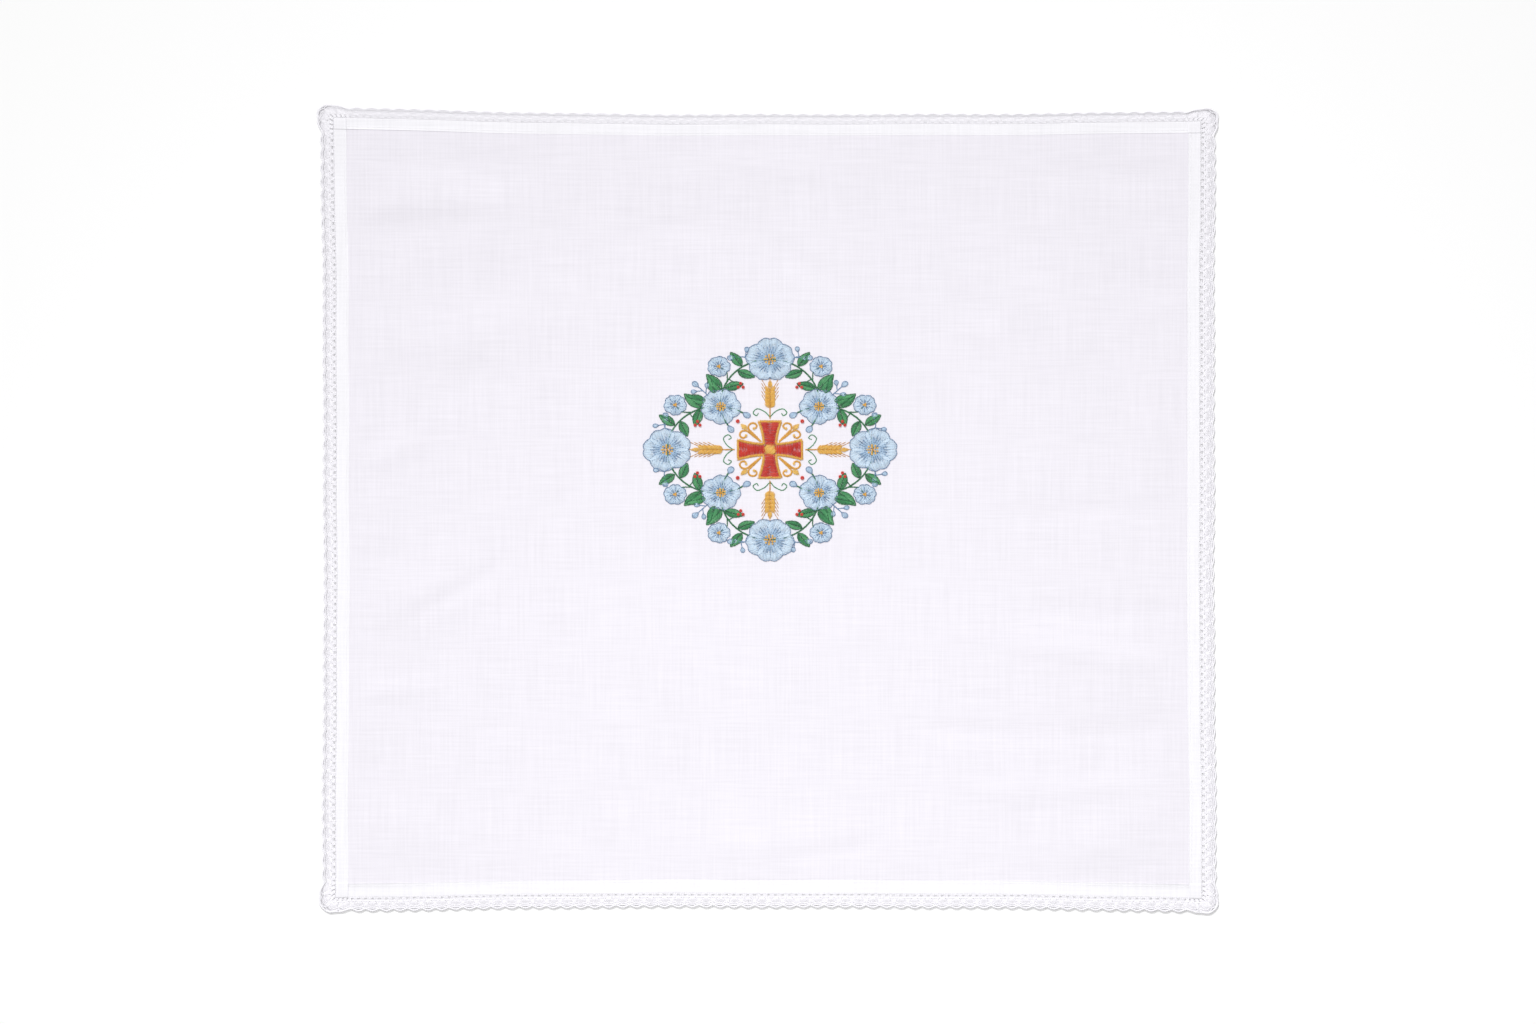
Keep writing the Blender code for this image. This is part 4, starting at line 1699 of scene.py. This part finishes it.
def sew_half_arch(work, turn, direction, mirrored):
    """Leaves, a small flower, berries, a sprig and a bud on one half of an arch."""
    def around(angle):
        return 180.0 - angle if mirrored else angle

    hand = -1.0 if mirrored else 1.0
    for leaf in ARCH_LEAVES:
        root = arch_point(around(leaf.angle), leaf.side * 0.5 * MM) * turn
        away = around(leaf.angle) + (0.0 if leaf.side > 0 else 180.0)
        angle = math.radians(away + hand * leaf.side * leaf.lean) + direction
        sew_leaf(work, root, angle, leaf.length, leaf.width)

    angle = around(SMALL_FLOWER_ANGLE)
    flower = arch_point(angle, SMALL_FLOWER_OUT) * turn
    stem = smooth_line([
        arch_point(around(SMALL_FLOWER_ANGLE - 9.0)), arch_point(angle, 0.4 * SMALL_FLOWER_OUT),
        arch_point(angle, SMALL_FLOWER_OUT),
    ], 5) * turn
    work.rope("green", work.place(stem), 0.6 * MM, 0.2)
    sew_flower(work, flower, SMALL_FLOWER, math.radians(angle) + direction)

    angle = around(BERRIES_ANGLE)
    stem = np.array([arch_point(angle), arch_point(angle, BERRIES_OUT)]) * turn
    work.rope("green", work.place(stem), 0.5 * MM, 0.15)
    sew_berries(work, stem[-1])

    angle = around(SPRIG_ANGLE)
    root = arch_point(angle, 0.3 * MM) * turn
    lean = -0.5 * hand
    sew_sprig(work, root, math.radians(angle) + lean * 0.6 + direction, 7.5 * MM, lean)

    angle = around(ARCH_FIRST)
    swing = math.radians(angle - 90.0 * hand) + direction
    sew_bud(work, arch_point(angle) * turn, swing, 4.2 * MM)


def sew_diagonal(work, turn):
    """The flower where two arches cross, with leaves and sprigs outside it."""
    direction = math.pi / 4 + float(np.angle(turn))
    outward = np.exp(1j * direction)
    crossing = CROSSING * outward
    sew_sprig(work, crossing + 6.5 * MM * outward, direction, 9.0 * MM, 0.0)
    for lean in (-1.0, 1.0):
        root = crossing + MEDIUM_FLOWER * 0.8 * outward * np.exp(0.40j * lean)
        sew_leaf(work, root, direction + lean * 0.56, 10.5 * MM, 5.2 * MM)
    sew_flower(work, crossing, MEDIUM_FLOWER, direction)


WHEAT_FOOT = 17.4 * MM
WHEAT_EAR = 23.0 * MM
WHEAT_STEP = 2.15 * MM
WHEAT_PAIRS = 5
GRAIN_LENGTH = 4.4 * MM
GRAIN_WIDTH = 2.2 * MM


def sew_wheat(work, direction):
    """An ear of wheat that stands on an arm of the cross, with two tendrils."""
    outward = np.exp(1j * direction)
    tip = WHEAT_EAR + WHEAT_STEP * WHEAT_PAIRS
    stalk = np.array([WHEAT_FOOT, tip]) * outward
    work.rope("gold", work.place(stalk), 0.6 * MM, 0.35)
    for pair in range(WHEAT_PAIRS):
        for side in (-1.0, 1.0):
            root = (WHEAT_EAR + WHEAT_STEP * pair + 0.35j * side * MM) * outward
            sew_grain(work, root, direction + side * math.radians(27), GRAIN_LENGTH)
    sew_grain(work, tip * outward, direction, GRAIN_LENGTH * 1.15)
    for side in (-1.0, 1.0):
        tendril = smooth_line([
            WHEAT_FOOT + 0.6 * MM, (21.0 + 2.6j * side) * MM, (22.6 + 6.2j * side) * MM,
            (20.4 + 8.2j * side) * MM, (18.8 + 6.6j * side) * MM, (20.2 + 5.6j * side) * MM,
        ], 6) * outward
        work.rope("green", work.place(tendril), 0.45 * MM, 0.45, 0.0, 0.2 * MM)


def sew_grain(work, root, angle, length):
    """One gold grain with its beard."""
    turn = np.exp(1j * angle)
    edge = leaf_edge(length, GRAIN_WIDTH)
    outline = np.concatenate([edge, np.conj(edge)[::-1][1:-1]])
    base = work.place(root)
    work.satin(
        "gold", work.place(root + outline * turn), angle,
        lambda at: 0.45 + 0.4 * abs(at - base) / length, 0.42 * MM, 0.1 * MM,
    )
    beard = np.array([length * 0.9, length * 1.9]) * turn + root
    work.back_stitch("gold", work.place(beard), 2.0 * MM, 0.2, 0.0, 0.12 * MM)


CROSS_REACH = 15.5 * MM
CROSS_WAIST = 3.0 * MM
CROSS_END = 5.4 * MM
BOSS_RADIUS = 3.0 * MM


def sew_cross(work):
    """The red cross with its gold edge, gold boss and gold scrolls."""
    edge = []
    for quarter in range(4):
        turn = 1j ** quarter
        share = np.linspace(0.0, 1.0, 7)
        run = blend_to(CROSS_WAIST, CROSS_REACH, share)
        half = CROSS_WAIST + (CROSS_END - CROSS_WAIST) * share ** 1.8
        arm = np.concatenate([run - 1j * half, (run + 1j * half)[::-1]])
        edge.append(arm[:-1] * turn)
        filled = np.append(arm, 0.0) * turn
        across = math.pi / 2 * (quarter + 1)
        work.satin(
            "red", work.place(filled), across, lambda at: 0.5 + thread_shade(at), 0.45 * MM
        )
    edge = closed(np.concatenate(edge))
    work.rope("gold", work.place(edge), 1.45 * MM, 0.55, 0.15 * MM, 0.42 * MM)
    boss = BOSS_RADIUS * np.exp(2j * math.pi * np.arange(24) / 24)
    work.satin("gold", work.place(boss), math.pi / 4, lambda at: 0.7, 0.6 * MM, 0.25 * MM)
    work.back_stitch("gold", work.place(closed(boss) * 1.08), 1.4 * MM, 0.1, 0.3 * MM)
    for quarter in range(4):
        sew_scrolls(work, 1j ** quarter * np.exp(0.25j * math.pi))


def thread_shade(at):
    """A slow change of tone across the cross, as from one length of thread to the next."""
    return 0.12 * math.sin(at.real / (3.1 * MM)) * math.sin(at.imag / (2.3 * MM))


SCROLL_EYE = (14.6 + 3.3j) * MM
SCROLL_RADIUS = 2.8 * MM


def sew_scrolls(work, turn):
    """A pair of gold scrolls with a gold leaf and a red berry, between two arms."""
    swing = np.radians(np.linspace(-90.0, 215.0, 30))
    radius = SCROLL_RADIUS * np.linspace(1.0, 0.36, 30)
    curl = SCROLL_EYE + radius * np.exp(1j * swing)
    stem = smooth_line([6.4 * MM, (10.4 + 0.3j) * MM, curl[0]], 6)
    line = np.concatenate([stem[:-1], curl])
    for scroll in (line, np.conj(line)):
        work.rope("gold", work.place(scroll * turn), 1.1 * MM, 0.5)
        work.knot("gold", work.place(scroll[-1] * turn), 1.3, 0.8)
    leaf = leaf_edge(4.6 * MM, 2.4 * MM) + 15.6 * MM
    leaf = np.concatenate([leaf, np.conj(leaf)[::-1][1:-1]])
    angle = float(np.angle(turn))
    work.satin("gold", work.place(leaf * turn), angle, lambda at: 0.85, 0.4 * MM, 0.15 * MM)
    work.knot("red", work.place(22.2 * MM * turn), 1.9, 0.5)


def sew_motif():
    """Every stitch and knot of the embroidery."""
    work = Needlework()
    for quarter in range(4):
        sew_arch(work, 1j ** quarter)
    for quarter in range(4):
        sew_diagonal(work, 1j ** quarter)
    sew_cross(work)
    return work


def make_knot_form():
    """One knot: thread wound round itself in a small flattened ring."""
    bpy.ops.mesh.primitive_torus_add(
        major_segments=9, minor_segments=6, major_radius=0.34 * MM, minor_radius=0.25 * MM
    )
    knot = bpy.context.object
    knot.name = "knot_form"
    knot.data.shade_smooth()
    knot.hide_render = True
    return knot


KNOT_LEVEL = 0.45 * MM
KNOT_SEED = 5


def make_knots(name, knots, form, tree, material):
    """Set the knots of one colour on the cloth."""
    points = uneven_lie(np.array([knot[0] for knot in knots]))
    heights = cloth_height(points) + KNOT_LEVEL
    piece = new_mesh(name, stations_3d(points, heights))
    add_attribute(piece, "size", [knot[1] for knot in knots])
    add_attribute(piece, "tone", [knot[2] for knot in knots])
    values = {"Knot": form, "Seed": KNOT_SEED, "Material": material}
    return grow(piece, tree, values)


def ride(piece):
    """Carry a piece on the cloth's body."""
    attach(piece, BODY)


def shared(store, name, build):
    """Build a tree, group or material once, and find it again by its name."""
    found = store.get(name)
    return found if found is not None else build()


def spun_fibre():
    """The shared fibre effect."""
    return shared(bpy.data.node_groups, "Spun fibre", fibre_group)


def white_cotton(name, colour):
    """The shared white cotton."""
    return shared(
        bpy.data.materials, name, lambda: cotton_material(spun_fibre(), name, tuple(colour))
    )


class CORPORAL_OT_cloth(bpy.types.Operator):
    """Make the linen cloth with its turned hem"""

    bl_idname = "corporal.cloth"
    bl_label = "Linen cloth"

    def execute(self, context):
        piece = make_cloth()
        piece.data.materials.append(linen_material(weave_group()))
        ride(piece)
        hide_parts(LINEN_SOLID)
        return {"FINISHED"}


class CORPORAL_OT_lace(bpy.types.Operator):
    """Make the crocheted lace with its rim and header cords"""

    bl_idname = "corporal.lace"
    bl_label = "Lace edging"

    def execute(self, context):
        lace = context.scene.corporal_lace
        cotton = white_cotton("lace_cotton", lace.colour)
        scallop = make_scallop(lace)
        tree = lace_tree()
        pieces = [make_lace_side(index, scallop, tree, cotton) for index in range(len(SIDES))]
        bpy.data.objects.remove(scallop)
        twisted = cord_tree()
        rim = rim_path(lace.rim_radius)
        pieces.append(make_cord(
            "lace_rim", rim, lace.rim_radius, lace.rim_radius + rim_lift(rim),
            lace.twist, 5, twisted, cotton,
        ))
        pieces.append(make_cord(
            "lace_header", header_path(lace.header_radius), lace.header_radius,
            lace.header_radius + HEADER_LIFT, lace.twist, 4, twisted, cotton,
        ))
        for piece in pieces:
            ride(piece)
            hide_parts(LACE_SOLID)
        return {"FINISHED"}


SEWING_WHITE = (0.93, 0.925, 0.945)


class CORPORAL_OT_sewing(bpy.types.Operator):
    """Sew the hem and whip the lace to it"""

    bl_idname = "corporal.sewing"
    bl_label = "Sewing"

    def execute(self, context):
        radius = context.scene.corporal_needlework.sewing_radius
        cotton = white_cotton("sewing_cotton", SEWING_WHITE)
        tree = shared(bpy.data.node_groups, "Raised stitches", stitch_tree)
        for name, sew in (("hem_stitches", hem_stitches), ("lace_stitches", whip_stitches)):
            piece = make_stitches(name, sew(), radius, tree, cotton, steps=4, sides=4)
            ride(piece)
        return {"FINISHED"}


# Sides of each thread, and the dark and the light tone of its silk.
Silk = namedtuple("Silk", "name sides dark light")
SILKS = (
    Silk("blue", 4, (0.12, 0.21, 0.36), (0.68, 0.80, 0.91)),
    Silk("green", 4, (0.018, 0.11, 0.05), (0.17, 0.48, 0.22)),
    Silk("gold", 5, (0.40, 0.16, 0.02), (0.90, 0.62, 0.17)),
    Silk("red", 5, (0.30, 0.010, 0.010), (0.78, 0.11, 0.06)),
)


class CORPORAL_OT_embroidery(bpy.types.Operator):
    """Embroider the motif in four colours"""

    bl_idname = "corporal.embroidery"
    bl_label = "Embroidery"

    def execute(self, context):
        colours = context.scene.corporal_needlework
        work = sew_motif()
        tree = shared(bpy.data.node_groups, "Raised stitches", stitch_tree)
        knots = knot_tree()
        form = make_knot_form()
        for name, sides, dark, light in SILKS:
            middle = tuple(getattr(colours, name))
            silk = silk_material(spun_fibre(), f"silk_{name}", (dark, middle, light))
            pieces = [make_stitches(
                f"embroidery_{name}", work.stitches[name], colours.thread_radius, tree, silk,
                steps=4, sides=sides,
            )]
            if work.knots.get(name):
                pieces.append(make_knots(f"knots_{name}", work.knots[name], form, knots, silk))
            for piece in pieces:
                ride(piece)
        bpy.data.objects.remove(form)
        return {"FINISHED"}


class CORPORAL_OT_declare(bpy.types.Operator):
    """Takes no step of its own, and only finishes"""

    bl_idname = "corporal.declare"
    bl_label = "Declare the cloth"

    def execute(self, context):
        return {"FINISHED"}


class CORPORAL_OT_stage(bpy.types.Operator):
    """Set up the floor, the light and the camera"""

    bl_idname = "corporal.stage"
    bl_label = "Stage"

    def execute(self, context):
        stage = context.scene.corporal_stage
        make_floor(stage)
        make_lights()
        make_camera(stage)
        return {"FINISHED"}


# The floor lies a hair below the cloth, so that the two don't share a plane.
FLOOR_SIZE = 14.0
FLOOR_DROP = 0.1 * MM


def make_floor(stage):
    """A plain pale floor."""
    half = FLOOR_SIZE / 2.0
    corners = [(-half, -half, -FLOOR_DROP), (half, -half, -FLOOR_DROP),
               (half, half, -FLOOR_DROP), (-half, half, -FLOOR_DROP)]
    floor = new_mesh("floor", corners, faces=[(0, 1, 2, 3)])
    material, _, shader, _ = new_material("pale_floor")
    shader.inputs["Base Color"].default_value = (*stage.floor_colour, 1.0)
    shader.inputs["Roughness"].default_value = 0.95
    shader.inputs["Specular IOR Level"].default_value = 0.0
    floor.data.materials.append(material)


# Lights: a key lamp from the upper left that draws the lace's soft shadow, and a broad
# soft one over the lower middle that makes the cloth a little lighter there.
KEY_STRENGTH = 1.95
KEY_SOFTNESS = 14.0
KEY_DIRECTION = (0.30, -0.85, -0.86)
BROAD_POWER = 0.95
BROAD_PLACE = (0.0, -0.15, 0.6)
BROAD_SIZE = 0.5
SKY_STRENGTH = 0.505


def make_lights():
    """Soft studio light."""
    key = bpy.data.lights.new("key", "SUN")
    key.energy = KEY_STRENGTH
    key.angle = math.radians(KEY_SOFTNESS)
    aim(link(bpy.data.objects.new("key", key)), (0.0, 0.0, 1.5), KEY_DIRECTION)
    broad = bpy.data.lights.new("broad", "AREA")
    broad.shape = "DISK"
    broad.size = BROAD_SIZE
    broad.energy = BROAD_POWER
    lamp = link(bpy.data.objects.new("broad", broad))
    lamp.visible_camera = False
    aim(lamp, BROAD_PLACE, (0.0, 0.0, -1.0))
    world = bpy.data.worlds.new("studio")
    world.use_nodes = True
    sky = world.node_tree.nodes["Background"]
    sky.inputs["Color"].default_value = (1.0, 1.0, 1.0, 1.0)
    sky.inputs["Strength"].default_value = SKY_STRENGTH
    bpy.context.scene.world = world
    bpy.context.scene.view_settings.view_transform = "Standard"


def aim(piece, place, direction):
    """Put a lamp at a place and point it along a direction."""
    piece.location = place
    piece.rotation_euler = Vector(direction).to_track_quat("-Z", "Y").to_euler()


CAMERA_ASIDE = 0.2 * MM
CAMERA_DOWN = 1.7 * MM
SENSOR_WIDTH = 36.0


def make_camera(stage):
    """A camera that looks straight down, as far away as its lens needs."""
    camera = bpy.data.cameras.new("camera")
    camera.lens = stage.lens
    camera.sensor_width = SENSOR_WIDTH
    piece = link(bpy.data.objects.new("camera", camera))
    distance = stage.view_width * stage.lens / SENSOR_WIDTH
    piece.location = (CAMERA_ASIDE, -CAMERA_DOWN, distance)
    bpy.context.scene.camera = piece


class CORPORAL_PT_panel(bpy.types.Panel):
    """Sizes, colours and makers of the corporal"""

    bl_idname = "CORPORAL_PT_panel"
    bl_label = "Altar corporal"
    bl_space_type = "VIEW_3D"
    bl_region_type = "UI"
    bl_category = "Corporal"

    def draw(self, context):
        for name in SETTINGS:
            box = self.layout.box()
            settings = getattr(context.scene, name)
            for key in settings.__annotations__:
                box.prop(settings, key)
        for maker in MAKERS:
            self.layout.operator(maker.bl_idname)


SETTINGS = {
    "corporal_cloth": CorporalCloth,
    "corporal_lace": CorporalLace,
    "corporal_needlework": CorporalNeedlework,
    "corporal_stage": CorporalStage,
}
MAKERS = (
    CORPORAL_OT_stage, CORPORAL_OT_cloth, CORPORAL_OT_lace, CORPORAL_OT_sewing,
    CORPORAL_OT_embroidery, CORPORAL_OT_declare,
)


def register():
    """Make the settings, operators and panel known to Blender."""
    for kind in (*SETTINGS.values(), *MAKERS, CORPORAL_PT_panel):
        bpy.utils.register_class(kind)
    for name, kind in SETTINGS.items():
        setattr(bpy.types.Scene, name, bpy.props.PointerProperty(type=kind))


def unregister():
    """Take them away again."""
    for name in SETTINGS:
        delattr(bpy.types.Scene, name)
    for kind in reversed((*SETTINGS.values(), *MAKERS, CORPORAL_PT_panel)):
        bpy.utils.unregister_class(kind)


def main():
    """Dress the frame, piece by piece."""
    register()
    bpy.ops.corporal.stage()
    bpy.ops.corporal.cloth()
    bpy.ops.corporal.lace()
    bpy.ops.corporal.sewing()
    bpy.ops.corporal.embroidery()
    bpy.ops.corporal.declare()


if __name__ == "__main__":
    main()
